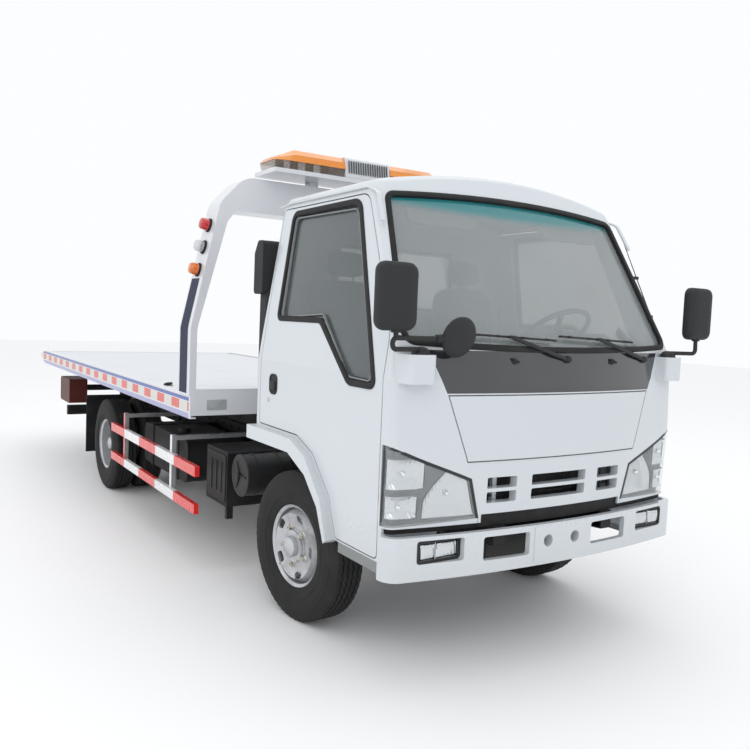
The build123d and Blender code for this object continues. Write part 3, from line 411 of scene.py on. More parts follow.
class Finish:
    """A material made of nodes round one Principled shader."""

    def __init__(self, name, colour, rough=0.5, metal=0.0, **fixed):
        self.material = bpy.data.materials.new(name)
        self.material.use_nodes = True
        self.tree = self.material.node_tree
        self.shader = self.tree.nodes["Principled BSDF"]
        self.shader.inputs["Base Color"].default_value = (*colour, 1)
        self.shader.inputs["Roughness"].default_value = rough
        self.shader.inputs["Metallic"].default_value = metal
        for key, value in fixed.items():
            self.shader.inputs[key.replace("_", " ").title().replace("Ior", "IOR")].default_value = value
        split = self.node("ShaderNodeSeparateXYZ", inputs={0: self.spot()}).socket.node
        self.x, self.y, self.z = (Wire(self, split.outputs[index]) for index in range(3))

    def node(self, kind, settings=None, inputs=None, output=0):
        node = self.tree.nodes.new(kind)
        for key, value in (settings or {}).items():
            setattr(node, key, value)
        for key, value in (inputs or {}).items():
            if isinstance(value, Wire):
                self.tree.links.new(value.socket, node.inputs[key])
            else:
                node.inputs[key].default_value = value
        return Wire(self, node.outputs[output])

    def spot(self):
        return self.node("ShaderNodeTexCoord", output=3)

    def stretched(self, scale):
        """Object coordinates with each axis scaled."""
        return self.node("ShaderNodeMapping", {}, {0: self.spot(), 3: scale})

    def noise(self, scale, detail=4.0, coarse=0.55, stretch=None):
        where = self.stretched(stretch) if stretch else self.spot()
        inputs = {"Vector": where, "Scale": scale, "Detail": detail, "Roughness": coarse}
        return self.node("ShaderNodeTexNoise", {}, inputs)

    def cells(self, scale):
        return self.node("ShaderNodeTexVoronoi", {}, {"Vector": self.spot(), "Scale": scale})

    def blend(self, factor, one, two):
        """A colour between two, each a tuple or a wire."""
        colours = [value if isinstance(value, Wire) else (*value, 1) for value in (one, two)]
        return self.node("ShaderNodeMix", {"data_type": "RGBA"}, {0: factor, 6: colours[0], 7: colours[1]}, 2)

    def feed(self, socket, wire):
        self.tree.links.new(wire.socket, self.shader.inputs[socket])

    def paint(self, wire):
        self.feed("Base Color", wire)
        return self

    def bump(self, height, distance, strength=1.0):
        inputs = {"Height": height, "Distance": distance, "Strength": strength}
        self.feed("Normal", self.node("ShaderNodeBump", {}, inputs))
        return self


DECK_SHEET = 1.22
RAIL_OUTER_Y = 1.0985
RAIL_LINE = (1.031, 1.054)
RAIL_TAPE = (0.968, 1.026)
RAIL_FOOT_TOP = 0.957
TAPE_PERIOD = 0.30
GUARD_TAIL_X, GUARD_LENGTH, GUARD_FIELDS = -2.910, 1.975, 5
GUARD_OUTER_Y = 1.0449
SUN_BAND_BOW, SUN_BAND_FADE = 0.045, 0.055


def enamel(name, colour, grime_top=0.75, rough=0.24):
    """Gloss vehicle paint with faint road grime low down and a slight ripple."""
    f = Finish(name, colour, rough, coat_weight=0.7, coat_roughness=0.06)
    cloud = f.noise(2.3, 5)
    speck = f.noise(60.0, 3)
    low = 1 - f.z.rise(0.35, grime_top)
    grime = low * (cloud * 0.5 + speck * 0.3)
    tone = f.blend(cloud * 0.35, colour, tuple(c * 0.93 for c in colour))
    f.paint(f.blend(grime * 0.45, tone, (0.33, 0.30, 0.26)))
    f.feed("Roughness", grime * 0.5 + speck * 0.05 + rough - 0.02)
    return f.bump(f.noise(240.0, 2) * 0.25 + f.noise(14.0, 1), 0.0004, 0.5).material


def deck_enamel(name, colour):
    """Painted plate of the bed: fine scuffs along its length, sheet joints and dulled patches."""
    f = Finish(name, colour, 0.4, coat_weight=0.2, coat_roughness=0.2)
    scuff = f.noise(1.0, 6, 0.7, (3.0, 160.0, 3.0)).rise(0.58, 0.72)
    patch = f.noise(1.6, 5)
    joint = 1 - abs((f.x + 0.35) % DECK_SHEET - DECK_SHEET / 2).rise(0.001, 0.005)
    dull = scuff * 0.25 + patch * 0.18
    tone = f.blend(dull, colour, (0.52, 0.54, 0.55))
    f.paint(f.blend(joint * 0.55, tone, (0.25, 0.26, 0.27)))
    f.feed("Roughness", patch * 0.2 + scuff * 0.2 + 0.28)
    return f.bump(joint * -1.0 + f.noise(5.0, 2) * 0.8 + scuff * 0.1, 0.0015, 0.6).material


def chassis_black(name, colour=(0.012, 0.012, 0.013), rough=0.5):
    """Chassis paint with patches of dust and small rust freckles."""
    f = Finish(name, colour, rough, specular_ior_level=0.25)
    dust = f.noise(4.0, 6).rise(0.45, 0.8)
    freckle = f.noise(75.0, 4).rise(0.66, 0.74)
    tone = f.blend(dust * 0.35, colour, (0.055, 0.050, 0.043))
    f.paint(f.blend(freckle * 0.6, tone, (0.10, 0.035, 0.012)))
    f.feed("Roughness", dust * 0.3 + rough)
    return f.bump(f.noise(180.0, 4) + freckle * 0.5, 0.0006, 0.6).material


def rubber(name, colour=(0.018, 0.018, 0.019), rough=0.72):
    """Black rubber with a bloom of road dust."""
    f = Finish(name, colour, rough, specular_ior_level=0.25)
    bloom = f.noise(9.0, 6).rise(0.4, 0.8)
    f.paint(f.blend(bloom * 0.5, colour, (0.050, 0.046, 0.042)))
    f.feed("Roughness", bloom * 0.15 + rough)
    return f.bump(f.noise(420.0, 3), 0.0005, 0.5).material


def moulded(name, colour, rough=0.45, grain=700.0):
    """Moulded plastic with a fine leather-like grain."""
    f = Finish(name, colour, rough, specular_ior_level=0.3)
    tone = f.noise(6.0, 3)
    f.paint(f.blend(tone * 0.4, colour, tuple(c * 1.35 for c in colour)))
    f.feed("Roughness", tone * 0.12 + rough)
    return f.bump(f.cells(grain), 0.0004, 0.5).material


def bare_metal(name, colour, rough=0.3, metal=1.0, stain=(0.16, 0.13, 0.10), stains=0.35):
    """Bare or plated steel with a brushed bump and stains."""
    f = Finish(name, colour, rough, metal)
    stained = f.noise(14.0, 6).rise(0.48, 0.78)
    f.paint(f.blend(stained * stains, colour, stain))
    f.feed("Roughness", stained * 0.3 + f.noise(3.0, 2, 0.5, (8.0, 300.0, 300.0)) * 0.1 + rough - 0.05)
    return f.bump(f.noise(500.0, 2), 0.0002, 0.4).material


def wheel_silver(name):
    """Silver wheel paint with fine flake and brake dust."""
    f = Finish(name, (0.52, 0.53, 0.55), 0.36, 0.55, coat_weight=0.3, coat_roughness=0.15)
    dirt = f.noise(11.0, 6).rise(0.42, 0.8)
    flake = f.cells(1500.0)
    tone = f.blend(flake * 0.3, (0.50, 0.51, 0.53), (0.62, 0.63, 0.65))
    f.paint(f.blend(dirt * 0.55, tone, (0.17, 0.15, 0.13)))
    f.feed("Roughness", dirt * 0.35 + 0.32)
    return f.bump(f.noise(300.0, 3), 0.0003, 0.5).material


def window_glass(name, colour, opacity, band=None):
    """Thin vehicle glass, with a teal sun band along its top where asked."""
    f = Finish(name, colour, 0.03, coat_weight=1.0, coat_roughness=0.01)
    f.material.surface_render_method = "BLENDED"
    haze = f.noise(3.0, 5)
    alpha = haze * 0.10 + opacity
    tone = f.blend(haze * 0.6, colour, tuple(c * 1.25 for c in colour))
    if band:
        shade = (f.z - f.y * f.y * SUN_BAND_BOW).rise(band, band + SUN_BAND_FADE)
        f.paint(f.blend(shade, tone, (0.03, 0.26, 0.28)))
        f.feed("Alpha", alpha + shade * 0.25)
    else:
        f.paint(tone)
        f.feed("Alpha", alpha)
    f.feed("Roughness", haze * 0.05 + 0.01)
    return f.material


def lens(name, colour, opacity, ribs=220.0, glow=0.0):
    """Ribbed lamp lens."""
    f = Finish(name, colour, 0.08, coat_weight=1.0, coat_roughness=0.03)
    cloud = f.noise(25.0, 3)
    f.paint(f.blend(cloud * 0.4, colour, tuple(min(0.9, c * 1.3) for c in colour)))
    f.feed("Alpha", cloud * 0.12 + opacity)
    if glow:
        f.shader.inputs["Emission Color"].default_value = (*colour, 1)
        f.shader.inputs["Emission Strength"].default_value = glow
    wave = (f.x * ribs).sine() + (f.z * ribs).sine()
    return f.bump(wave, 0.0008, 0.35).material


def mirror_chrome(name, tone=(0.86, 0.87, 0.88), ribs=0.0):
    """Bright plated reflector, with flutes where asked."""
    f = Finish(name, tone, 0.08, 1.0)
    cloud = f.noise(18.0, 3)
    f.paint(f.blend(cloud * 0.3, tone, (0.62, 0.64, 0.66)))
    f.feed("Roughness", cloud * 0.08 + 0.04)
    if ribs:
        return f.bump(((f.y + f.z * 0.15) * ribs).sine(), 0.0016, 0.45).material
    return f.bump(cloud, 0.0003, 0.4).material


def banded_rail(name, colour):
    """Bed rail: white with a blue line, a reflective tape of red and silver, and a blue foot."""
    f = Finish(name, colour, 0.32, coat_weight=0.4, coat_roughness=0.12)
    side = abs(f.y) > RAIL_OUTER_Y
    behind = f.x < AXLE_X - 1.0
    line = (f.z > RAIL_LINE[0]) * (f.z < RAIL_LINE[1]) * side * behind
    tape = (f.z > RAIL_TAPE[0]) * (f.z < RAIL_TAPE[1]) * side * behind
    foot = (f.z < RAIL_FOOT_TOP) * side * behind
    red = (((f.x + 0.04) % TAPE_PERIOD) < TAPE_PERIOD / 2) * tape
    honeycomb = f.cells(260.0)
    cloud = f.noise(7.0, 5)
    tone = f.blend(cloud * 0.3, colour, (0.60, 0.62, 0.64))
    tone = f.blend(foot * 0.75, tone, (0.20, 0.20, 0.48))
    tone = f.blend(line, tone, (0.035, 0.075, 0.34))
    silver = f.blend(honeycomb * 0.5, (0.58, 0.58, 0.54), (0.72, 0.72, 0.68))
    tone = f.blend(tape, tone, silver)
    tone = f.blend(red, tone, f.blend(honeycomb * 0.5, (0.62, 0.05, 0.035), (0.80, 0.13, 0.09)))
    f.paint(tone)
    f.feed("Roughness", cloud * 0.15 + 0.26)
    return f.bump(tape * 0.6 + honeycomb * tape * 0.2 + f.noise(20.0, 2) * 0.3, 0.0008, 0.7).material


def guard_paint(name):
    """Red and white lengths along the side guards, red at both ends."""
    f = Finish(name, (0.8, 0.8, 0.8), 0.3, coat_weight=0.5, coat_roughness=0.1)
    start, length = AXLE_X + GUARD_TAIL_X, GUARD_LENGTH / GUARD_FIELDS
    board = abs(f.y) > GUARD_OUTER_Y
    red = (((f.x - start) / length) % 2.0) < 1.0
    cloud = f.noise(12.0, 5)
    dirt = cloud.rise(0.5, 0.8)
    tone = f.blend(red, (0.80, 0.80, 0.81), (0.74, 0.025, 0.02))
    tone = f.blend(board, (0.30, 0.31, 0.32), tone)
    f.paint(f.blend(dirt * 0.3, tone, (0.22, 0.18, 0.15)))
    f.feed("Roughness", dirt * 0.3 + 0.26)
    return f.bump(f.noise(90.0, 3), 0.0004, 0.4).material


def woven(name, colour, pitch=900.0):
    """Seat cloth with a plain weave."""
    f = Finish(name, colour, 0.9, sheen_weight=0.3)
    warp = (f.y * pitch).sine()
    weft = ((f.x + f.z) * pitch).sine()
    thread = warp * weft
    cloud = f.noise(9.0, 5)
    tone = f.blend(thread * 0.5 + 0.5, tuple(c * 0.7 for c in colour), tuple(c * 1.3 for c in colour))
    f.paint(f.blend(cloud * 0.4, tone, tuple(c * 0.8 for c in colour)))
    return f.bump(thread + cloud * 0.6, 0.0006, 0.6).material


def tread_plate(name, colour):
    """Raised chequer pattern of a small anti-slip plate."""
    f = Finish(name, colour, 0.35, 0.3)
    one = ((f.x + f.y) * 150.0).sine() * ((f.x - f.y) * 75.0).sine()
    raised = one.rise(0.25, 0.6)
    f.paint(f.blend(raised * 0.5, colour, (0.80, 0.81, 0.82)))
    f.feed("Roughness", 0.5 - raised * 0.2)
    return f.bump(raised, 0.002, 1.0).material


def gloss_panel(name):
    """Dark glossy panel below the windscreen."""
    f = Finish(name, (0.045, 0.047, 0.05), 0.12, coat_weight=1.0, coat_roughness=0.03)
    cloud = f.noise(4.0, 5)
    f.paint(f.blend(cloud, (0.016, 0.018, 0.021), (0.034, 0.036, 0.040)))
    f.feed("Roughness", cloud * 0.12 + 0.06)
    return f.bump(f.noise(200.0, 2), 0.0002, 0.3).material


def studio_floor(name):
    f = Finish(name, (0.93, 0.93, 0.93), 0.75)
    f.paint(f.blend(f.noise(0.6, 2) * 0.3, (0.93, 0.93, 0.93), (0.90, 0.90, 0.91)))
    return f.material


FINISHES = {}


def make_finishes(look):
    """All materials by plain name."""
    white = tuple(look.cab_white)
    bed = tuple(look.bed_white)
    FINISHES.update({
        "cab white": enamel("cab_white_enamel", white),
        "bed white": deck_enamel("bed_white_enamel", bed),
        "gantry white": enamel("gantry_white_enamel", bed, 0.4, 0.28),
        "rail bands": banded_rail("bed_rail_bands", bed),
        "chassis": chassis_black("chassis_black_paint"),
        "cast iron": bare_metal("cast_iron", (0.09, 0.09, 0.09), 0.65, 0.5, (0.10, 0.05, 0.03)),
        "tyre": rubber("tyre_rubber"),
        "seal": rubber("window_rubber", (0.012, 0.012, 0.013), 0.55),
        "flap": rubber("flap_rubber", (0.014, 0.014, 0.015), 0.8),
        "trim": moulded("trim_black_plastic", (0.020, 0.020, 0.021), 0.42),
        "soft black": moulded("mirror_black_plastic", (0.022, 0.023, 0.024), 0.55, 900.0),
        "step grey": moulded("step_grey_plastic", (0.22, 0.23, 0.23), 0.5),
        "dash": moulded("dashboard_grey_plastic", (0.13, 0.135, 0.14), 0.6),
        "lining": moulded("cab_lining_grey", (0.36, 0.37, 0.37), 0.75, 400.0),
        "panel": gloss_panel("front_panel_gloss"),
        "bezel": moulded("lamp_bezel_grey", (0.028, 0.030, 0.033), 0.3, 1200.0),
        "wheel": wheel_silver("wheel_silver_paint"),
        "zinc": bare_metal("zinc_plated_steel", (0.62, 0.60, 0.55), 0.3),
        "chrome rod": bare_metal("cylinder_rod_chrome", (0.75, 0.76, 0.78), 0.12, 1.0, (0.3, 0.28, 0.25),
                                 0.2),
        "exhaust": bare_metal("exhaust_steel", (0.30, 0.27, 0.24), 0.5, 0.8, (0.20, 0.09, 0.04), 0.7),
        "rope": bare_metal("steel_wire_rope", (0.36, 0.36, 0.35), 0.42, 0.9, (0.16, 0.10, 0.06), 0.6),
        "core": bare_metal("radiator_core", (0.05, 0.05, 0.05), 0.6, 0.6),
        "reflector": mirror_chrome("lamp_reflector"),
        "fluted": mirror_chrome("fluted_reflector", (0.62, 0.64, 0.66), 330.0),
        "mirror face": mirror_chrome("mirror_glass", (0.72, 0.75, 0.78)),
        "screen": window_glass("windscreen_glass", (0.34, 0.37, 0.375), 0.42, 2.062),
        "side glass": window_glass("side_glass", (0.10, 0.12, 0.125), 0.46),
        "lamp cover": window_glass("lamp_cover", (0.80, 0.84, 0.86), 0.10),
        "clear lens": lens("clear_lens", (0.60, 0.63, 0.65), 0.45, 90.0),
        "smoke lens": lens("light_bar_skirt_lens", (0.30, 0.24, 0.19), 0.38, 60.0),
        "amber lens": lens("amber_lens", (0.74, 0.225, 0.004), 0.92, 110.0),
        "red lens": lens("red_lens", (0.50, 0.006, 0.010), 0.92, 220.0),
        "orange lens": lens("orange_lens", (0.66, 0.14, 0.004), 0.92, 220.0),
        "tail red": lens("tail_lamp_red", (0.30, 0.015, 0.012), 0.95, 300.0),
        "tail box": moulded("tail_lamp_box", (0.085, 0.018, 0.014), 0.4, 500.0),
        "guard": guard_paint("side_guard_paint"),
        "banner": moulded("gantry_banner_navy", (0.012, 0.017, 0.050), 0.5, 600.0),
        "plate": bare_metal("blank_plate_aluminium", (0.66, 0.67, 0.67), 0.4, 0.85, (0.4, 0.4, 0.4), 0.3),
        "tread plate": tread_plate("anti_slip_plate", (0.70, 0.72, 0.73)),
        "cloth": woven("seat_cloth_grey", (0.17, 0.18, 0.19)),
        "floor": studio_floor("studio_floor"),
    })


CAD_FINISHES = {
    "cab_shell": "cab white", "door_right": "cab white", "door_left": "cab white",
    "front_lid": "cab white", "grille": "cab white", "wheel_arches": "cab white",
    "front_bumper": "cab white", "front_panel": "panel", "cab_glass": "screen",
    "door_glass_right": "side glass", "door_glass_left": "side glass",
    "cab_steps": "step grey", "dashboard": "dash", "steering_wheel": "trim",
    "intake_duct": "soft black", "frame": "chassis", "front_axle": "chassis",
    "rear_axle": "chassis", "leaf_springs": "chassis", "engine": "cast iron",
    "radiator": "core", "driveshaft": "chassis", "exhaust": "exhaust",
    "fuel_tank": "chassis", "tool_box": "chassis", "air_cleaner": "trim",
    "side_guards": "guard", "mud_flaps": "flap", "tail_lamps": "tail box",
    "under_run_bar": "chassis", "fog_lamps": "clear lens", "knuckle_right": "cast iron",
    "knuckle_left": "cast iron", "rim_front_right": "wheel", "rim_front_left": "wheel",
    "rim_rear_right": "wheel", "rim_rear_left": "wheel", "subframe": "chassis",
    "slide_rod": "chrome rod", "deck_floor": "bed white", "deck_rails": "rail bands",
    "gantry": "gantry white", "light_bar_base": "gantry white", "light_bar_lenses": "amber lens",
    "winch": "chassis", "winch_drum": "rope", "tilt_barrels": "chassis", "tilt_rods": "chrome rod",
}


def paint_cad_nodes():
    """Gives every carried-over CAD node its material."""
    for node, finish in CAD_FINISHES.items():
        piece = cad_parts[node]
        if not piece.material_slots:
            piece.data.materials.append(FINISHES[finish])
        for slot in piece.material_slots:
            slot.material = FINISHES[finish]


# Windows

SCREEN_FOOT, SCREEN_HEAD = 1.490, 2.152
FOOT_HALF, HEAD_HALF = 0.845, 0.738
FOOT_SAG, HEAD_RISE = 0.022, 0.030
DRIP_RAIL = ((-0.425, 2.168), (-0.300, 2.181), (0.470, 2.181), (0.560, 2.150), (0.640, 2.010))
DRIP_SECTION = ((-0.006, -0.006), (-0.006, 0.010), (-0.002, 0.014), (0.004, 0.012), (0.004, -0.006))


def seal_round(shape, outline, inside, width, height):
    """A rubber strip of a given width on an outline of surface points, its lip out by height."""
    profile = [(-width * inside, -0.012), (-width * inside, height * 0.6), (-width * inside * 0.5, height),
               (width * (1 - inside) * 0.7, height), (width * (1 - inside), height * 0.3),
               (width * (1 - inside), -0.004)]
    shape.strip(outline[0], outline[1], profile)


def side_window_outline(side, grow):
    """Points and outward directions on the cab's side round its window."""
    corners = [Vector(c) for c in SIDE_WINDOW]
    middle = sum(corners, Vector((0, 0))) / len(corners)
    points = rounded(corners, SIDE_WINDOW_RADII, 7)
    points = [p + (p - middle).normalized() * grow for p in points]
    spots = [on_side(side, x, z) for x, z in points]
    slope = (CAB_LINES[4][2] - CAB_LINES[5][2]) / (CAB_LINES[5][0] - CAB_LINES[4][0])
    return spots, [Vector((0, side, slope)).normalized()] * len(spots)


def windscreen_outline():
    """Points and outward directions round the windscreen on the cab's bowed front."""
    steps = range(17)
    low = [(-FOOT_HALF + 2 * FOOT_HALF * s / 16, SCREEN_FOOT - FOOT_SAG * (1 - (s / 8 - 1) ** 2))
           for s in steps]
    high = [(HEAD_HALF - 2 * HEAD_HALF * s / 16, SCREEN_HEAD + HEAD_RISE * (1 - (s / 8 - 1) ** 2))
            for s in steps]
    radii = [0.045 if s in (0, 16) else 0.0001 for s in steps] * 2
    flat = rounded(low + high, radii, 7)
    spots, outs = [], []
    lean = (CAB_LINES[4][1] - CAB_LINES[5][1]) / (CAB_LINES[5][0] - CAB_LINES[4][0])
    for y, z in flat:
        spots.append(on_front(y, z))
        outs.append(Vector((1, y / BOW_R, lean)).normalized())
    return spots, outs


def make_window_trim():
    """Rubber frames of the windscreen, back window and doors, and the drip rails over the doors."""
    front = Shape()
    seal_round(front, windscreen_outline(), 0.5, 0.028, 0.006)
    front.piece("windscreen_seal", "cab", "seal", "black_trim", smooth=60)
    back = Shape()
    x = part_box("cab_shell")[0].x
    outline = rounded(rectangle(-0.430, 1.640, 0.430, 2.000), 0.05, 7)
    rows = [Vector((x + 0.012, y, z)) for y, z in outline]
    back.strip(rows, Vector((-1, 0, 0)), bead(0.016, 0, 0.010))
    back.piece("back_window_seal", "cab", "seal", "black_trim", smooth=60)
    for side, name in SIDES:
        edge = Shape()
        seal_round(edge, side_window_outline(side, 0.0), 0.6, 0.030, 0.006)
        edge.piece(f"door_window_seal_{name}", f"door_{name}", "seal", "black_trim", smooth=60)
        inner = Shape()
        spots, outs = side_window_outline(side, -0.030)
        inner.strip(spots, outs, bead(0.003, -0.012, -0.002))
        inner.piece(f"door_window_bead_{name}", f"door_{name}", "step grey", "grey_plastic")
        rail = Shape()
        spots = [on_side(side, px, pz, 0.001) for px, pz in rounded(DRIP_RAIL, 0.06, 5, False)]
        rail.strip(spots, Vector((0, side, 0.14)), DRIP_SECTION, closed=False)
        rail.piece(f"drip_rail_{name}", "cab", "cab white", "white_paint")


# Wheels

def wheel_axis(which, side):
    """Middle and outward axle direction of a wheel, side -1 for the right."""
    if which == "rear":
        return place(REAR_AXLE_X, 0, TYRE_R), Vector((0, side, 0))
    turn_x, turn_y = -side * math.sin(REST_STEER), side * math.cos(REST_STEER)
    reach = FRONT_WHEEL_Y - KINGPIN_Y
    middle = place(turn_x * reach, side * KINGPIN_Y + turn_y * reach, TYRE_R)
    return middle, Vector((turn_x, turn_y, 0))


TYRE_SECTION = (
    (0.205, 0.066), (0.213, 0.080), (0.228, 0.088), (0.246, 0.0925), (0.258, 0.0955), (0.263, 0.0985),
    (0.268, 0.0965), (0.292, 0.0990), (0.312, 0.0998), (0.330, 0.0965), (0.336, 0.0965), (0.340, 0.0935),
    (0.356, 0.0905), (0.368, 0.0860), (0.378, 0.0815), (0.3845, 0.0770),
)
TREAD_GROOVES = (-0.046, -0.0155, 0.0155, 0.046)
GROOVE_HALF = 0.0038
GROOVE_DEPTH = 0.011
GROOVE_TAPER = 0.0012
TREAD_EDGE = 0.074
ZIGZAG = 0.0042
CROWN_R, SHOULDER_R = 0.3885, 0.3872
NOTCH, NOTCHED_FROM = 0.0045, 0.375
TREAD_WAVES = 60
NUT_CIRCLE_R = 0.1
HUB_FACE = {"front": 0.070, "rear": 0.010}
CAP_TOP = {"front": 0.112, "rear": 0.165}
VALVE_ROOT = {"front": 0.045, "rear": 0.055}


def tyre_shape(shape, middle, axis):
    """A tyre with zigzag grooves and notched shoulders, all in one skin."""
    side = axis.orthogonal().normalized()
    other = axis.cross(side)
    rings = []
    steps = TREAD_WAVES * 4
    for step in range(steps):
        phase = step % 4
        zig = (0, ZIGZAG, 0, -ZIGZAG)[phase]
        notch = NOTCH if phase in (2, 3) else 0.0
        wall = [(r - (notch if r > NOTCHED_FROM else 0), h) for r, h in TYRE_SECTION]
        crown = [(-TREAD_EDGE, SHOULDER_R - notch * 0.4)]
        for groove in TREAD_GROOVES:
            left, right = groove - GROOVE_HALF, groove + GROOVE_HALF
            crown += [(left + zig, CROWN_R), (left + GROOVE_TAPER + zig, CROWN_R - GROOVE_DEPTH),
                      (right - GROOVE_TAPER + zig, CROWN_R - GROOVE_DEPTH), (right + zig, CROWN_R)]
        crown.append((TREAD_EDGE, SHOULDER_R - notch * 0.4))
        section = [(r, -h) for r, h in wall] + [(r, h) for h, r in crown] + wall[::-1]
        angle = 2 * math.pi * step / steps
        out = side * math.cos(angle) + other * math.sin(angle)
        rings.append([middle + out * r + axis * h for r, h in section])
    shape.skin(rings, True)


def wheel_nut(shape):
    """A flanged hexagon nut on its stud, standing on +Z."""
    shape.lathe(((0, 0), (0.019, 0), (0.019, 0.003), (0.016, 0.006), (0, 0.006)), (0, 0, 0), (0, 0, 1), 16)
    shape.plate(hexagon(0.0155, 0.004), (0, 0, 0.016))
    shape.rod((0, 0, 0.018), (0, 0, 0.030), 0.0075, 10)
    return shape


def make_wheels(count):
    """Tyres, nuts, hub caps and valves of all the wheels."""
    for side, name in SIDES:
        for which in ("front", "rear"):
            middle, axis = wheel_axis(which, side)
            body = f"wheel_{which}_{name}"
            offsets = (0,) if which == "front" else TWIN_Y
            for index, y in enumerate(offsets):
                tyre = Shape()
                tyre_shape(tyre, middle + axis * y, axis)
                piece_name = f"tyre_{which}_{name}" if which == "front" else f"tyre_rear_{name}_{index + 1}"
                node = f"tyre_front_{name}" if which == "front" else f"tyres_rear_{name}"
                tyre.piece(piece_name + "_tread", body, "tyre", "tyre", (node,), smooth=35)
            hub = middle + axis * (sum(offsets) / len(offsets))
            face, cap = HUB_FACE[which], CAP_TOP[which]
            side_out = axis.orthogonal().normalized()
            other = axis.cross(side_out)
            points = []
            for step in range(count):
                angle = 2 * math.pi * (step + 0.5) / count
                out = side_out * math.cos(angle) + other * math.sin(angle)
                points.append(hub + out * NUT_CIRCLE_R + axis * face)
            turns = [tuple(axis.to_track_quat("Z", "Y").to_euler())] * count
            nut = model_of(wheel_nut(Shape()), "nut_model")
            repeated(f"wheel_nuts_{which}_{name}", body, "zinc", nut, points, turns, 30)
            dome = Shape()
            rim = ((0.046, cap - 0.02), (0.052, cap - 0.02), (0.053, cap - 0.004), (0.049, cap + 0.003),
                   (0.036, cap + 0.006), (0.030, cap + 0.0105), (0.012, cap + 0.0125), (0, cap + 0.0125),
                   (0, cap - 0.001), (0.046, cap - 0.001))
            dome.lathe(rim, hub, axis, 40)
            ring = ((0.083, face - 0.002), (0.088, face - 0.002), (0.088, face + 0.005),
                    (0.083, face + 0.007))
            dome.lathe(ring, hub, axis, 48)
            dome.piece(f"hub_cap_{which}_{name}", body, "wheel", "wheel_silver", smooth=35)
            valve = Shape()
            root = hub + side_out * 0.17 + axis * VALVE_ROOT[which]
            neck = root + axis * 0.020 + side_out * 0.010
            valve.rod(root, neck, 0.0045, 10)
            valve.rod(neck, root + axis * 0.036 + side_out * 0.014, 0.0038, 10)
            valve.piece(f"valve_{which}_{name}", body, "trim", "black_trim")


# Front of the cab

CORNER_R = 0.046
LAMP_LOW, LAMP_TOP = 0.706, 1.050
LAMP_DEPTH = 0.034
BOWL_RIM, BOWL_DEPTH = -0.007, 0.021
BULB = ((0, 0), (0.014, 0), (0.014, 0.004), (0.0105, 0.009), (0.0095, 0.015), (0.006, 0.019), (0, 0.020))
LAMP_END = 0.946
LAMP_EDGE = ((0.704, 0.463), (0.722, 0.463), (0.901, 0.512), (0.997, 0.768), (1.055, 0.905))
SKIRT_ROWS = (0.676, 0.690, 0.7025)
SKIRT_MIDDLE_ROWS = (0.676, 0.705, 0.7345)
SKIRT_SPLIT = 0.46


def skin_point(side, along, z, out):
    """A point on the cab's skin, along metres from the middle of the bowed front round the corner."""
    half = cab_line(z, 2)
    first = math.asin((half - CORNER_R) / BOW_R)
    turn_y = half - CORNER_R + CORNER_R * math.sin(first)
    centre_x = cab_nose(turn_y, z) - CORNER_R * math.cos(first)
    if along <= turn_y:
        angle = math.asin(along / BOW_R)
        x, y = cab_nose(along, z), along
    else:
        angle = min(first + (along - turn_y) / CORNER_R, math.pi / 2)
        x, y = centre_x + CORNER_R * math.cos(angle), half - CORNER_R + CORNER_R * math.sin(angle)
        x -= max(0.0, along - turn_y - CORNER_R * (math.pi / 2 - first))
    return place(x + out * math.cos(angle), side * (y + out * math.sin(angle)), z)


def skin_patch(shape, side, rows, out, thick, columns=14):
    """A plate on the cab's skin between rows of (z, near, far); out is a number or bowl depths."""
    front, back = [], []
    for row, (z, near, far) in enumerate(rows):
        v = 2 * row / (len(rows) - 1) - 1
        for column in range(columns + 1):
            u = 2 * column / columns - 1
            rim, depth = out if hasattr(out, "__len__") else (out, 0.0)
            level = rim - depth * (1 - u ** 4) * (1 - v ** 4)
            along = near + (far - near) * column / columns
            front.append(shape.bm.verts.new(skin_point(side, along, z, level)))
            back.append(shape.bm.verts.new(skin_point(side, along, z, level - thick)))
    wide = columns + 1
    for grid, flip in ((front, False), (back, True)):
        for row in range(len(rows) - 1):
            for column in range(columns):
                a = row * wide + column
                quad = [grid[a], grid[a + 1], grid[a + wide + 1], grid[a + wide]]
                shape.bm.faces.new(quad[::-1] if flip else quad)
    rim_path = list(range(columns)) + [columns + wide * r for r in range(len(rows) - 1)]
    rim_path += [wide * len(rows) - 1 - c for c in range(columns)]
    rim_path += [wide * (len(rows) - 1 - r) for r in range(len(rows) - 1)]
    for one, two in zip(rim_path, rim_path[1:] + rim_path[:1]):
        shape.bm.faces.new((front[one], back[one], back[two], front[two]))


def rows_between(low, high, near, far, count=8):
    """Rows of a patch whose near and far edges are functions of the height share."""
    return [(low + (high - low) * i / count, near(i / count), far(i / count)) for i in range(count + 1)]


def lamp_near(z):
    """The lamp's inner edge along the front."""
    for (z0, s0), (z1, s1) in zip(LAMP_EDGE, LAMP_EDGE[1:]):
        if z <= z1:
            return s0 + (s1 - s0) * max(0.0, z - z0) / (z1 - z0)
    return LAMP_EDGE[-1][1]


def d_edge(share):
    """Round outer edge of the large reflector."""
    return 0.748 - 0.20 * max(0.0, share - 0.30) ** 1.6


def lamp_areas():
    """Reflector areas as rows: the large inner one and the two outer ones, one above the other."""
    big_low, big_top, upper_low, upper_top, outer = 0.736, 0.945, 0.868, 0.996, 0.930

    def big_near(share):
        return max(0.480 + 0.03 * share, lamp_near(big_low + (big_top - big_low) * share) + 0.022)

    def upper_near(share):
        edge = lamp_near(upper_low + (upper_top - upper_low) * share) + 0.02
        return 0.745 if share < 0.55 else max(0.745, edge)

    big = rows_between(big_low, big_top, big_near, d_edge, 12)
    upper = rows_between(upper_low, upper_top, upper_near, lambda share: outer, 8)
    lower = rows_between(0.742, 0.838, lambda share: 0.772, lambda share: outer, 6)
    return big, upper, lower


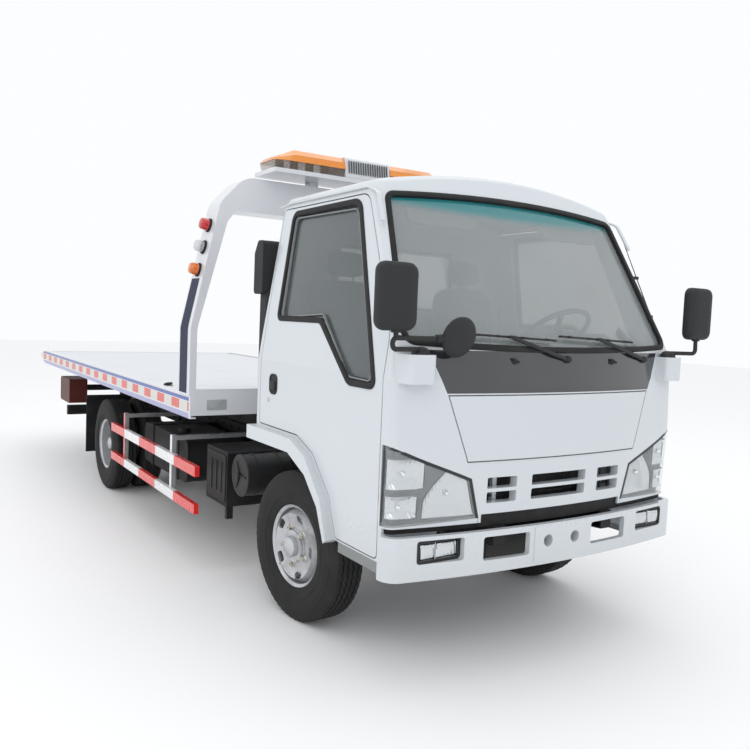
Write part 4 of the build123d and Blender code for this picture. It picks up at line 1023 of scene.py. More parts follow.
def make_headlamps():
    """Dark housing with fluted bowls, bulbs and a clear cover, on both corners of the cab."""
    housing, bowls, bulbs, cover, rim = Shape(), Shape(), Shape(), Shape(), Shape()
    levels = [LAMP_LOW + (LAMP_TOP - LAMP_LOW) * i / 16 for i in range(17)]
    whole = [(z, lamp_near(z) + 0.002, LAMP_END) for z in levels]
    for side in (-1, 1):
        skin_patch(housing, side, whole, -LAMP_DEPTH, 0.004, 20)
        skin_patch(cover, side, whole, -0.001, 0.003, 20)
        edge = [skin_point(side, near, z, 0) for z, near, far in whole]
        edge += [skin_point(side, far, z, 0) for z, near, far in reversed(whole)]
        outs = [Vector((1, side * 0.12, 0))] * len(whole) + [Vector((0.1, side, 0))] * len(whole)
        profile = ((-0.012, -0.036), (-0.012, 0.0005), (0.002, 0.0005), (0.002, -0.036))
        if side > 0:
            profile = tuple((-a, b) for a, b in profile)
        rim.strip(edge, outs, profile)
        for area, columns in zip(lamp_areas(), (16, 12, 10)):
            skin_patch(bowls, side, area, (BOWL_RIM, BOWL_DEPTH), 0.002, columns)
            boundary = [skin_point(side, near, z, -0.006) for z, near, far in area]
            boundary += [skin_point(side, far, z, -0.006) for z, near, far in reversed(area)]
            rim.pipe(boundary, 0.0032, steps=8, closed=True)
            z, near, far = area[len(area) // 2]
            seat = skin_point(side, (near + far) / 2, z, -0.027)
            ahead = (skin_point(side, (near + far) / 2, z, 0) - seat).normalized()
            bulbs.lathe(BULB, seat, ahead, 20)
    housing.piece("headlamp_housings", "cab", "bezel", "black_trim", ("headlamps",))
    bowls.piece("headlamp_bowls", "cab", "fluted", "clear_lamp", smooth=60)
    bulbs.piece("headlamp_bulbs", "cab", "reflector", "clear_lamp")
    rim.piece("headlamp_rims", "cab", "bezel", "black_trim", smooth=50)
    cover.piece("headlamp_covers", "cab", "lamp cover", "clear_lamp")


# Mirrors, wipers and small fittings

MIRROR_Y, MIRROR_Z = 0.965, 1.672
MIRROR_HALF = (0.093, 0.137)
MIRROR_BACK_X = 0.9635
ARM_R = 0.0105
ARM_LOW, ARM_HIGH = 1.462, 1.508
# Tall mirror's head from its glass forward: x, share of its width, share of its height
MIRROR_LAYERS = (
    (0.964, 0.90, 0.94), (0.968, 0.985, 0.99), (0.980, 1.0, 1.0), (0.998, 0.985, 0.99),
    (1.012, 0.93, 0.955), (1.020, 0.78, 0.86), (1.0235, 0.45, 0.55),
)


def head_outline(y, half_y, half_z, radius):
    """(y, z) round a tall mirror's head."""
    return rounded(rectangle(y - half_y, MIRROR_Z - half_z, y + half_y, MIRROR_Z + half_z), radius, 6)


def make_mirrors():
    """Tall mirrors on bent arms with their glass, and the round one that looks down in front."""
    arms, heads, glasses = Shape(), Shape(), Shape()
    for side in (-1, 1):
        arms.lathe(((0, 0), (0.040, 0), (0.038, 0.012), (0.026, 0.026), (0.012, 0.032), (0, 0.033)),
                   place(0.945, side * 0.800, 1.440), (0, 0, 1), 28)
        route = [place(0.948, side * 0.800, 1.452), place(0.952, side * 0.800, ARM_LOW)]
        if side < 0:
            route += [place(0.994, -0.978, ARM_LOW), place(0.994, -0.978, ARM_HIGH),
                      place(0.990, -0.735, ARM_HIGH)]
        else:
            route += [place(0.994, 0.960, ARM_LOW), place(0.990, 0.962, 1.545)]
        arms.pipe(route, ARM_R, 0.022, 14)
        if side < 0:
            arms.pipe([place(0.992, -0.960, ARM_HIGH), place(0.990, -0.962, 1.530),
                       place(0.988, -0.962, 1.560)], ARM_R, 0.01, 14)
        rows = []
        middle_y = side * MIRROR_Y
        half_y, half_z = MIRROR_HALF
        for x, wide, tall in MIRROR_LAYERS:
            outline = head_outline(middle_y, half_y * wide, half_z * tall, 0.042 * wide)
            rows.append([place(x, y, z) for y, z in outline])
        heads.skin(rows)
        collar = place(0.990, side * 0.962, 1.528)
        heads.lathe(((0, 0), (0.018, 0), (0.021, 0.006), (0.018, 0.016), (0, 0.016)), collar, (0, 0, 1), 20)
        glass = head_outline(middle_y, half_y - 0.011, half_z - 0.011, 0.036)
        glasses.plate([place(MIRROR_BACK_X, y, z) for y, z in glass], (-0.002, 0, 0))
    tilt = Vector((0.96, 0.05, -0.25)).normalized()
    seat = place(1.000, -0.645, 1.515)
    dome = ((0, -0.014), (0.080, -0.014), (0.088, -0.009), (0.089, 0.000), (0.082, 0.009),
            (0.062, 0.016), (0.034, 0.020), (0, 0.0215))
    heads.lathe(dome, seat, tilt, 44)
    bracket = Shape()
    bracket.pipe([place(0.990, -0.760, ARM_HIGH), place(0.994, -0.700, 1.512), seat], 0.017, steps=12)
    bracket.piece("round_mirror_bracket", "cab", "soft black", "black_plastic", bevel=0.003)
    disc = ((0, -0.015), (0.077, -0.015), (0.077, -0.0165), (0, -0.0185))
    glasses.lathe(disc, seat, tilt, 40)
    arms.piece("mirror_arms", "cab", "trim", "black_trim", smooth=50)
    heads.piece("mirror_heads", "cab", "soft black", "black_plastic", ("mirrors",), smooth=60)
    glasses.piece("mirror_glasses", "cab", "mirror face", "glass", smooth=40)


# Wipers: y of the pivot on the cab's front, and how far past it the blade's tip lies
WIPERS = ((0.020, 0.600), (0.610, 0.620))
BLADE_LENGTH = 0.540
BLADE_Z, BLADE_RISE = 1.512, 0.020
CLAWS = (0.12, 0.37, 0.63, 0.88)


def blade_spot(tip_y, share, out):
    """A point over a wiper's blade, share 0 at its outer end and 1 at its tip."""
    return on_front(tip_y + BLADE_LENGTH * (1 - share), BLADE_Z + BLADE_RISE * share, out)


def make_wipers():
    """Two wipers with tapered arms, claws and blades, and the two washer jets."""
    metal, blades, jets = Shape(), Shape(), Shape()
    for pivot_y, reach in WIPERS:
        pivot = on_front(pivot_y, 1.425, 0.002)
        tip_y = pivot_y - reach
        metal.lathe(((0, -0.01), (0.017, -0.01), (0.017, 0.008), (0.013, 0.017), (0, 0.019)), pivot,
                    (1, 0, 0.2), 24)
        middle_y = tip_y + 0.270
        knee = on_front(pivot_y - 0.100, 1.450, 0.020)
        grip = on_front(middle_y, 1.522, 0.020)
        metal.strip([pivot + Vector((0.010, 0, 0)), knee, (knee + grip) / 2 + Vector((0.004, 0, 0)), grip],
                    Vector((1, 0, 0.5)),
                    ((-0.009, -0.004), (-0.008, 0.003), (0.008, 0.003), (0.009, -0.004)), closed=False)
        metal.block(grip - Vector((0.006, 0.016, 0.007)), grip + Vector((0.006, 0.016, 0.007)))
        outward = Vector((1, 0, 0.6))
        lip = ((-0.0035, -0.004), (-0.0015, 0.003), (0.0015, 0.003), (0.0035, -0.004))
        spine = ((-0.005, -0.001), (-0.0045, 0.0015), (0.0045, 0.0015), (0.005, -0.001))
        for lift, profile in ((0.0065, lip), (0.0125, spine)):
            line = [blade_spot(tip_y, step / 14, lift) for step in range(15)]
            blades.strip(line, outward, profile, closed=False)
        for share in CLAWS:
            claw = blade_spot(tip_y, share, 0.011)
            blades.block(claw - Vector((0.007, 0.006, 0.0055)), claw + Vector((0.006, 0.006, 0.0055)))
        for low, high in (CLAWS[:2], CLAWS[2:]):
            yoke = [blade_spot(tip_y, share, lift)
                    for share, lift in ((low, 0.015), ((low + high) / 2, 0.0185), (high, 0.015))]
            metal.strip(yoke, outward, bead(0.003, -0.0015, 0.0015), closed=False)
    for y in (-0.300, 0.345):
        spot = on_front(y, 1.415, 0.001)
        jets.lathe(((0, -0.004), (0.016, -0.004), (0.013, 0.006), (0.008, 0.010), (0, 0.012)), spot,
                   (1, 0, 0.15), 18)
        jets.rod(spot + Vector((0.004, -0.014, 0.012)), spot + Vector((0.020, 0.010, -0.004)), 0.006, 12)
    metal.piece("wiper_arms", "cab", "trim", "black_trim", ("wipers",), smooth=45)
    blades.piece("wiper_blades", "cab", "seal", "black_trim", smooth=30)
    jets.piece("washer_jets", "cab", "trim", "black_trim", smooth=50)


def make_door_fittings():
    """Cup handle, lever and lock of each door, and the rod aerial."""
    for side, name in SIDES:
        cup, lever, lock = Shape(), Shape(), Shape()
        edge = rounded(rectangle(-0.268, 1.158, -0.186, 1.256), 0.026, 7)
        ring = [on_side(side, x, z) for x, z in edge]
        out = Vector((0, side, 0))
        cup.strip(ring, out, ((-0.007, -0.002), (-0.005, 0.004), (0.002, 0.006), (0.006, 0.003),
                              (0.006, -0.002)))
        inner = rounded(rectangle(-0.262, 1.164, -0.192, 1.250), 0.022, 7)
        cup.plate([on_side(side, x, z, 0.0015) for x, z in inner], -out * 0.002)
        cup.piece(f"door_handle_cup_{name}", f"door_{name}", "soft black", "black_plastic", smooth=50)
        flap = rounded(((-0.256, 1.172), (-0.200, 1.172), (-0.198, 1.222), (-0.258, 1.222)), 0.012, 5)
        lever.skin([[on_side(side, x, z, 0.0015) for x, z in flap],
                    [on_side(side, x, z, 0.0065) for x, z in flap],
                    [on_side(side, x * 0.9 - 0.0228, 1.197 + (z - 1.197) * 0.86, 0.0095) for x, z in flap]])
        lever.piece(f"door_handle_lever_{name}", f"door_{name}", "trim", "black_trim", smooth=40)
        lock.lathe(((0, 0), (0.013, 0), (0.013, 0.002), (0.010, 0.0045), (0.003, 0.0045), (0.003, 0.003),
                    (0, 0.003)), on_side(side, -0.282, 1.118), out, 28)
        lock.piece(f"door_lock_{name}", f"door_{name}", "zinc", "wheel_silver", smooth=35)
    aerial = Shape()
    foot = on_side(1, 0.770, 1.640, 0.012)
    head = on_side(1, 0.560, 2.130, 0.020)
    aerial.rod(foot, head, 0.0032, 10, 0.0018)
    for share in (0.02, 0.45):
        clip = foot.lerp(head, share)
        aerial.block(clip + Vector((-0.010, -0.040, -0.008)), clip + Vector((0.010, 0.006, 0.008)))
    aerial.piece("rod_aerial", "cab", "trim", "black_trim", bevel=0.001)


BULGE_ROWS, BULGE_COLUMNS = 6, 8
LAMP_BULGE = 0.009


def make_front_details():
    """Black strip over the bumper, lamp faces in the bumper and a black rod mesh behind the grille, a painted
    shade that stands in for the shadow seen through the grille's openings.
    """
    strip, lamps, rims, mesh = Shape(), Shape(), Shape(), Shape()
    ends = [(z, SKIRT_SPLIT, LAMP_END) for z in SKIRT_ROWS]
    middle = [(z, 0.0, SKIRT_SPLIT - 0.002) for z in SKIRT_MIDDLE_ROWS]
    for rows, columns in ((ends, 20), (middle, 10)):
        for side in (-1, 1):
            skin_patch(strip, side, rows, -0.012, 0.022, columns)
    strip.piece("front_skirt_strip", "cab", "seal", "black_trim", smooth=50)
    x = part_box("fog_lamps")[1].x
    for side in (-1, 1):
        y0, y1 = sorted((side * 0.566, side * 0.784))
        ring = [Vector((x, y, z)) for y, z in rounded(rectangle(y0, 0.561, y1, 0.649), 0.012, 5)]
        rims.strip(ring, Vector((1, 0, 0)), bead(0.006, -0.004, 0.006))
        split = y0 + (y1 - y0) * (0.42 if side < 0 else 0.58)
        for a, b in ((y0 + 0.008, split - 0.003), (split + 0.003, y1 - 0.008)):
            grid = []
            for row in range(BULGE_ROWS + 1):
                z = 0.569 + 0.072 * row / BULGE_ROWS
                v = 2 * row / BULGE_ROWS - 1
                for column in range(BULGE_COLUMNS + 1):
                    u = 2 * column / BULGE_COLUMNS - 1
                    bulge = LAMP_BULGE * (1 - u ** 4) * (1 - v ** 4)
                    y = a + (b - a) * column / BULGE_COLUMNS
                    grid.append(lamps.bm.verts.new((x + 0.001 + bulge, y, z)))
            wide = BULGE_COLUMNS + 1
            for row in range(BULGE_ROWS):
                for column in range(BULGE_COLUMNS):
                    k = row * wide + column
                    lamps.bm.faces.new((grid[k], grid[k + 1], grid[k + wide + 1], grid[k + wide]))
    rims.piece("bumper_lamp_rims", "chassis", "trim", "black_trim", bevel=0.001)
    face = lamps.piece("bumper_lamp_faces", "chassis", "fluted", "clear_lamp", smooth=60)
    wall = face.modifiers.new("Glass wall", "SOLIDIFY")
    wall.thickness = 0.002
    wall.offset = -1
    # Black rod mesh behind the grille: painted shade, dark rods standing in for the shadow seen through the
    # grille's openings.
    for z in (0.800, 0.842, 0.884):
        mesh.pipe([place(0.905 + (0.02 if abs(y) < 0.3 else 0), y, z) for y in (-0.44, -0.2, 0.2, 0.44)],
                  0.004, steps=8)
    for step in range(17):
        y = -0.42 + 0.84 * step / 16
        mesh.rod(place(0.915, y, 0.775), place(0.915, y, 0.905), 0.003, 8)
    mesh.piece("grille_guard_mesh", "cab", "trim", "black_trim", smooth=50)


# Gantry, light bar and bed

LEG_Y = 1.108
LEG_BEND_Z = 1.477
LEG_LEAN = 0.21875   # inward per metre up, above the bend
BOARD_HEIGHTS = (1.078, 1.440, LEG_BEND_Z, 1.514, 1.778)
BOARD_THICK = 0.0016
MARKERS = ((1.830, "orange lens"), (1.970, "clear lens"), (2.105, "red lens"))
MARKER_BASE = ((0, 0), (0.043, 0), (0.043, 0.009), (0.038, 0.013), (0, 0.013))
MARKER_LENS = (
    (0, 0.012), (0.036, 0.012), (0.0365, 0.022), (0.0355, 0.030), (0.0362, 0.038),
    (0.0350, 0.046), (0.0335, 0.053), (0.027, 0.0605), (0.014, 0.0635), (0, 0.064),
)


def leg_y(z):
    """|y| of the outer face of the gantry's leg."""
    return LEG_Y - max(0.0, z - LEG_BEND_Z) * LEG_LEAN


def make_gantry_fittings():
    """Navy boards and the six marker lamps on the outer faces of the legs."""
    boards, bases = Shape(), Shape()
    lenses = {name: Shape() for z, name in MARKERS}
    x0, x1 = (AXLE_X + x for x in GANTRY_X)
    for side in (-1, 1):
        rows = []
        for z in BOARD_HEIGHTS:
            y = leg_y(z) + 0.0002
            corners = rectangle(x0 + 0.020, side * y, x1 - 0.050, side * (y + BOARD_THICK))
            rows.append([Vector((x, y, z)) for x, y in corners])
        boards.skin(rows)
        slope = math.atan2(0.168, 0.768)
        out = Vector((0, side * math.cos(slope), math.sin(slope)))
        for z, name in MARKERS:
            seat = Vector(((x0 + x1) / 2, side * leg_y(z), z))
            bases.lathe(MARKER_BASE, seat, out, 32)
            lenses[name].lathe(MARKER_LENS, seat, out, 36)
    boards.piece("gantry_boards", "bed", "banner", "bed_paint", smooth=60)
    bases.piece("gantry_lamp_bases", "bed", "seal", "black_trim", ("gantry_lamps",), smooth=35)
    for name, shape in lenses.items():
        shape.piece("gantry_" + name.replace(" ", "_"), "bed", name, "side_lamp", smooth=35)


SLOT_PITCH = 0.018
SKIRT_HEIGHT = 0.052
FACET_IN, TOP_IN = 0.012, 0.050
SPEAKER_HALF = 0.1715
ROTATOR_Y = (0.25, 0.36, 0.47, 0.57)


def make_light_bar():
    """Faceted amber lenses over smoked skirts, rotators inside and the slotted loudspeaker."""
    low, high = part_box("light_bar_lenses")
    base_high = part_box("light_bar_base")[1]
    amber, skirt, works = Shape(), Shape(), Shape()
    x0, x1 = low.x, high.x
    waist = low.z + SKIRT_HEIGHT
    for side in (-1, 1):
        inner, outer = side * SPEAKER_HALF, side * (high.y - 0.002)
        rows = []
        for y, top, pull in ((inner, high.z, 0.0), (side * 0.40, high.z, 0.0), (side * 0.52, high.z, 0.0),
                             (side * 0.60, high.z - 0.035, 0.006),
                             (outer - side * 0.010, waist + 0.020, 0.03),
                             (outer, waist + 0.001, 0.045)):
            back, front = x0 + pull, x1 - pull
            edge = waist + (top - waist) * 0.55
            section = ((back, waist), (front, waist), (front - FACET_IN, edge), (front - TOP_IN, top),
                       (back + TOP_IN, top), (back + FACET_IN, edge))
            rows.append([Vector((x, y, z)) for x, z in section])
        amber.skin(rows)
        rows = []
        for y, pull in ((inner, 0.0), (side * 0.60, 0.006), (outer - side * 0.010, 0.03)):
            back, front = x0 + pull, x1 - pull
            section = ((back + 0.030, low.z), (front - 0.030, low.z), (front - 0.002, waist - 0.0005),
                       (back + 0.002, waist - 0.0005))
            rows.append([Vector((x, y, z)) for x, z in section])
        skirt.skin(rows)
        for y in ROTATOR_Y:
            seat = Vector(((x0 + x1) / 2, side * y, low.z + 0.006))
            works.rod(seat, seat + Vector((0, 0, 0.055)), 0.030, 18, 0.024)
            works.block(seat + Vector((-0.035, -0.004, 0.02)), seat + Vector((0.035, 0.004, 0.085)))
    amber.piece("light_bar_amber", "bed", "amber lens", "amber_lens", ("light_bar_lenses",),
                bevel=0.006, smooth=25)
    skirt.piece("light_bar_skirt", "bed", "smoke lens", "clear_lamp", bevel=0.002, smooth=25)
    works.piece("light_bar_rotators", "bed", "trim", "black_trim", smooth=40)
    louvre = Shape().block((-0.006, -0.0025, -0.040), (0.004, 0.0025, 0.040))
    spots = [Vector((base_high.x - 0.014, -0.144 + SLOT_PITCH * step, low.z + 0.072)) for step in range(17)]
    repeated("speaker_louvres", "bed", "dash", model_of(louvre, "louvre_model"),
             spots, [(0.0, -0.16, 0.0)] * len(spots), 30)
    slot = Shape().block((-0.100, -0.0035, -0.004), (0.100, 0.0035, 0.0018))
    spots = [Vector(((x0 + x1) / 2, -0.135 + SLOT_PITCH * step, base_high.z - 0.002)) for step in range(16)]
    repeated("speaker_top_slots", "bed", "trim", model_of(slot, "slot_model"),
             spots, [(0.0, 0.0, 0.0)] * len(spots), 30)


ROPE_R = 0.005
ROPE_TURN_R = 0.0665
ROPE_PITCH = 0.0102


def make_bed_fittings():
    """Blank plate, anti-slip plates, tie-down ring and the wound rope of the winch."""
    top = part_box("deck_floor")[1].z
    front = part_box("deck_rails")[1].x
    plate = Shape()
    outline = rounded(rectangle(-0.995, 0.975, -0.865, 1.040), 0.006, 4)
    plate.plate([Vector((front - 0.0002, y, z)) for y, z in outline], (0.0015, 0, 0))
    plate.piece("blank_data_plate", "bed", "plate", "wheel_silver", bevel=0.0004)
    grip = Shape()
    for y0, y1 in ((-1.050, -0.780), (0.780, 1.050)):
        grip.block((AXLE_X - 1.60, y0, top), (AXLE_X - 1.19, y1, top + 0.003))
    grip.piece("anti_slip_plates", "bed", "tread plate", "bed_paint", bevel=0.001)
    rings = Shape()
    spot = Vector((AXLE_X - 1.75, -0.985, top))
    rings.block(spot + Vector((-0.035, -0.022, 0)), spot + Vector((0.035, 0.022, 0.006)))
    loop = [spot + Vector((0.030 * math.cos(a), 0.028 * math.sin(a) * 0.9, 0.012 + 0.004 * math.sin(a)))
            for a in (2 * math.pi * i / 20 for i in range(20))]
    rings.pipe(loop, 0.0048, steps=8, closed=True)
    rings.piece("tie_down_ring", "bed", "trim", "wheel_silver", smooth=45)
    seat = Vector((AXLE_X - 1.40, 0, top + 0.145))
    angles = [2 * math.pi * i / 6 for i in range(6)]
    section = [(ROPE_TURN_R + ROPE_R * math.cos(a), ROPE_R * math.sin(a)) for a in angles]
    turn = Shape().lathe(section, (0, 0, 0), (0, 0, 1), 36)
    spots = [seat + Vector((0, -0.266 + ROPE_PITCH * step, 0)) for step in range(53)]
    repeated("winch_rope_turns", "winch_drum", "rope", model_of(turn, "turn_model"),
             spots, [(math.pi / 2, 0.0, 0.0)] * len(spots), 60)


def make_tail_lamps():
    """Rear lamp faces with amber, red and clear fields."""
    low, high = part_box("tail_lamps")
    fields = {"orange lens": (0.05, 0.33), "tail red": (0.35, 0.66), "clear lens": (0.68, 0.95)}
    for name, (start, end) in fields.items():
        shape = Shape()
        for side in (-1, 1):
            y0, y1 = sorted((side * (1.0 - 0.18 * start), side * (1.0 - 0.18 * end)))
            outline = rounded(rectangle(y0, low.z + 0.02, y1, high.z - 0.02), 0.010, 4)
            shape.plate([Vector((low.x, y, z)) for y, z in outline], (-0.007, 0, 0))
        shape.piece("tail_" + name.replace(" ", "_"), "chassis", name, "red_lens", bevel=0.002)
    rim = Shape()
    for side in (-1, 1):
        corners = rectangle(side * 0.824, low.z + 0.006, side * 0.996, high.z - 0.006)
        ring = [Vector((low.x, y, z)) for y, z in rounded(corners, 0.014, 4)]
        rim.strip(ring, Vector((-1, 0, 0)), bead(0.006, -0.004, 0.008))
    rim.piece("tail_lamp_rims", "chassis", "tail box", "red_lens", bevel=0.001)


def hexagon_bolt(size):
    """A bolt head with its washer, standing on +Z."""
    shape = Shape()
    shape.lathe(((0, 0), (size * 1.1, 0), (size * 1.1, 0.0015), (0, 0.0015)), (0, 0, 0), (0, 0, 1), 14)
    shape.plate(hexagon(size * 0.92, 0.0015), (0, 0, size * 0.6))
    return shape


RAIL_FACE_Y = 0.385
RAIL_BOLT_PITCH = 0.150


def make_chassis_fittings():
    """Bolt rows along both rails, tank cap, air cleaner bands, battery box lid and hoses."""
    spots, turns = [], []
    for side in (-1, 1):
        for step in range(38):
            x = 0.50 - RAIL_BOLT_PITCH * step
            for z in (0.600, 0.705):
                spots.append(place(x, side * RAIL_FACE_Y, z))
                turns.append((-side * math.pi / 2, 0.0, 0.0))
    repeated("rail_bolts", "chassis", "chassis",
             model_of(hexagon_bolt(0.011), "bolt_model"), spots, turns, 30)
    caps = Shape()
    low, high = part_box("fuel_tank")
    spot = Vector(((low.x + high.x) / 2 + 0.12, low.y + 0.11, high.z - 0.02))
    tank_cap = ((0, 0), (0.040, 0), (0.040, 0.030), (0.046, 0.030), (0.046, 0.044), (0.040, 0.050),
                (0, 0.050))
    caps.lathe(tank_cap, spot, (0, 0, 1), 28)
    low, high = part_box("air_cleaner")
    centre = Vector(((low.x + high.x) / 2, low.y, (low.z + high.z) / 2))
    lid_edge = ((0.100, 0.0), (0.122, 0.002), (0.124, 0.008), (0.100, 0.006))
    band = ((0.1195, 0), (0.1235, 0), (0.1235, 0.012), (0.1195, 0.012))
    for depth, profile in ((-0.001, lid_edge), (0.070, band), (0.215, band)):
        caps.lathe(profile, centre + Vector((0, depth, 0)), (0, 1, 0), 48)
    wing_nut = ((0, -0.020), (0.014, -0.020), (0.016, -0.012), (0.008, -0.010), (0.008, 0.0), (0, 0.0))
    caps.lathe(wing_nut, centre, (0, 1, 0), 20)
    for turn in range(3):
        angle = 2 * math.pi * turn / 3
        caps.rod(centre + Vector((0, -0.006, 0)),
                 centre + Vector((0.088 * math.cos(angle), -0.002, 0.088 * math.sin(angle))), 0.005, 8)
    caps.piece("tank_and_air_cleaner_fittings", "chassis", "trim", "black_trim", smooth=40)
    box_low, box_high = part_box("tool_box")
    lid = Shape()
    outline = rounded(rectangle(box_low.x + 0.02, 0.42, box_high.x - 0.02, 0.71), 0.02, 4)
    lid.plate([Vector((x, box_low.y - 0.0002, z)) for x, z in outline], (0, -0.006, 0))
    for step in range(3):
        x = box_low.x + 0.09 + 0.08 * step
        lid.block((x, box_low.y - 0.012, 0.47), (x + 0.022, box_low.y - 0.004, 0.66))
    lid.piece("battery_box_lid", "chassis", "trim", "black_trim", bevel=0.003)
    hose = Shape()
    hose.pipe([place(-0.600, -0.60, 0.70), place(-0.600, -0.52, 0.80), place(-0.540, -0.40, 0.88),
               place(-0.350, -0.30, 0.86)], 0.045, 0.09, 16)
    line = ((0.30, 0.66), (-0.40, 0.64), (-1.20, 0.66), (-2.40, 0.64), (-3.30, 0.66))
    for y in (-0.30, 0.30):
        hose.pipe([place(x, y, z) for x, z in line], 0.008, 0.3, 8)
    hose.piece("chassis_hoses", "chassis", "seal", "black_trim", smooth=60)


def make_interior():
    """Instrument hood, vents, gear lever and sun visors."""
    dash = Shape()
    arch = ((0.20, 1.470), (0.26, 1.515), (0.54, 1.515), (0.60, 1.470))
    dash.pipe([place(0.735, y, z) for y, z in arch], 0.032, 0.05, 12)
    dash.block(place(0.660, 0.24, 1.440), place(0.740, 0.56, 1.520))
    dash.piece("instrument_hood", "cab", "trim", "black_plastic", bevel=0.010)
    slat = Shape().block((-0.004, -0.055, -0.0025), (0.006, 0.055, 0.0025))
    spots = [place(0.614 + 0.012 * row, y, 1.362 + 0.012 * row) for y in (-0.62, -0.12, 0.06, 0.66)
             for row in range(4)]
    repeated("dashboard_vents", "cab", "trim", model_of(slat, "vent_model"),
             spots, [(0.0, 0.3, 0.0)] * len(spots), 30)
    lever = Shape()
    lever.pipe([place(0.25, 0.05, 1.00), place(0.27, 0.06, 1.25), place(0.24, 0.08, 1.42)], 0.009, 0.08, 10)
    knob = ((0, 0), (0.016, 0), (0.024, 0.02), (0.022, 0.045), (0.010, 0.058), (0, 0.060))
    boot = ((0, 0), (0.07, 0), (0.05, 0.03), (0.02, 0.09), (0, 0.09))
    lever.lathe(knob, place(0.24, 0.08, 1.41), (0, 0, 1), 20)
    lever.lathe(boot, place(0.25, 0.05, 0.998), (0, 0, 1), 24)
    lever.piece("gear_lever", "cab", "trim", "black_plastic", smooth=50)
    visors = Shape()
    for y in (-0.42, 0.42):
        outline = rounded(rectangle(y - 0.20, 2.030, y + 0.20, 2.150), 0.03, 5)
        visors.plate([place(cab_line(z, 1) - 0.095, vy, z) for vy, z in outline], (-0.014, 0, -0.008))
    visors.piece("sun_visors", "cab", "lining", "grey_plastic", bevel=0.004)


CUSHION_VOXEL = 0.014   # a seat is large, so its mesh is coarser than a small pad's
CUSHION_CAP = 0.010
CUSHION_PRESSURE = 4.0


def crowned_block(low, high, crown, name):
    """A closed cushion form with round corners and swollen faces."""
    shape = bmesh.new()
    bmesh.ops.create_cube(shape, size=2.0)
    bmesh.ops.subdivide_edges(shape, edges=shape.edges[:], cuts=9, use_grid_fill=True)
    low, high = Vector(low), Vector(high)
    middle, half = (low + high) / 2, (high - low) / 2
    for vert in shape.verts:
        u = vert.co.copy()
        size = (abs(u.x) ** 6 + abs(u.y) ** 6 + abs(u.z) ** 6) ** (1 / 6)
        swell = Vector(((1 - u.y ** 2) * (1 - u.z ** 2) * u.x, (1 - u.x ** 2) * (1 - u.z ** 2) * u.y,
                        (1 - u.x ** 2) * (1 - u.y ** 2) * u.z)) * crown
        vert.co = middle + Vector((u.x / size * half.x, u.y / size * half.y, u.z / size * half.z)) + swell
    return linked(name, mesh_of(shape, name))


def puff(cushion, cap):
    """Swells a cushion with Cloth pressure, no point further than cap, and leaves plain mesh."""
    scene = bpy.context.scene
    remesh = cushion.modifiers.new("Even mesh", "REMESH")
    remesh.mode = "VOXEL"
    remesh.voxel_size = CUSHION_VOXEL
    even = evaluated_mesh(cushion)
    cushion.modifiers.remove(remesh)
    cushion.data = even
    before = [vert.co.copy() for vert in even.vertices]
    cloth = cushion.modifiers.new("Padding", "CLOTH")
    cloth.settings.quality = 4
    cloth.settings.use_pressure = True
    cloth.settings.uniform_pressure_force = CUSHION_PRESSURE
    cloth.settings.effector_weights.gravity = 0.0
    for frame_number in range(1, 21):
        scene.frame_set(frame_number)
    swollen = evaluated_mesh(cushion)
    cushion.modifiers.remove(cloth)
    scene.frame_set(1)
    for vert, old in zip(swollen.vertices, before):
        moved = vert.co - old
        if moved.length > cap:
            vert.co = old + moved.normalized() * cap
    cushion.data = swollen


def make_seats():
    """Two padded seats with headrests, their welts and steel posts."""
    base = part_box("seats")[0].z
    welts, posts = Shape(), Shape()
    for middle_y, name in ((-0.43, "right"), (0.43, "left")):
        parts = (
            ("cushion", (AXLE_X - 0.325, middle_y - 0.232, base + 0.004),
             (AXLE_X + 0.170, middle_y + 0.232, base + 0.225), 0.012, 0.0),
            ("back", (AXLE_X - 0.345, middle_y - 0.226, base + 0.225),
             (AXLE_X - 0.240, middle_y + 0.226, 1.785), 0.012, -0.05),
            ("headrest", (AXLE_X - 0.352, middle_y - 0.112, 1.815),
             (AXLE_X - 0.288, middle_y + 0.112, 1.945), 0.008, -0.02),
        )
        for part, start, end, crown, lean in parts:
            cushion = crowned_block(start, end, crown, f"seat_{part}_{name}")
            for vert in cushion.data.vertices:
                vert.co.x += lean * (vert.co.z - start[2])
            puff(cushion, CUSHION_CAP)
            settle(cushion, "cab", "cloth", ("seats",), smooth=180, levels=1)
            top = end[2] - 0.02
            if part == "back":
                for y in (middle_y - 0.13, middle_y + 0.13):
                    welts.pipe([Vector((end[0] - 0.035, y, base + 0.30)),
                                Vector((end[0] - 0.040 + lean * 0.3, y, base + 0.50)),
                                Vector((end[0] - 0.045 + lean * (top - start[2]), y, top))], 0.004, 0.05, 8)
        for y in (middle_y - 0.05, middle_y + 0.05):
            posts.rod(Vector((AXLE_X - 0.318, y, 1.76)), Vector((AXLE_X - 0.320, y, 1.835)), 0.006, 10)
    welts.piece("seat_welts", "cab", "seal", "seat_cloth", smooth=60)
    posts.piece("headrest_posts", "cab", "zinc", "seat_cloth", smooth=60)


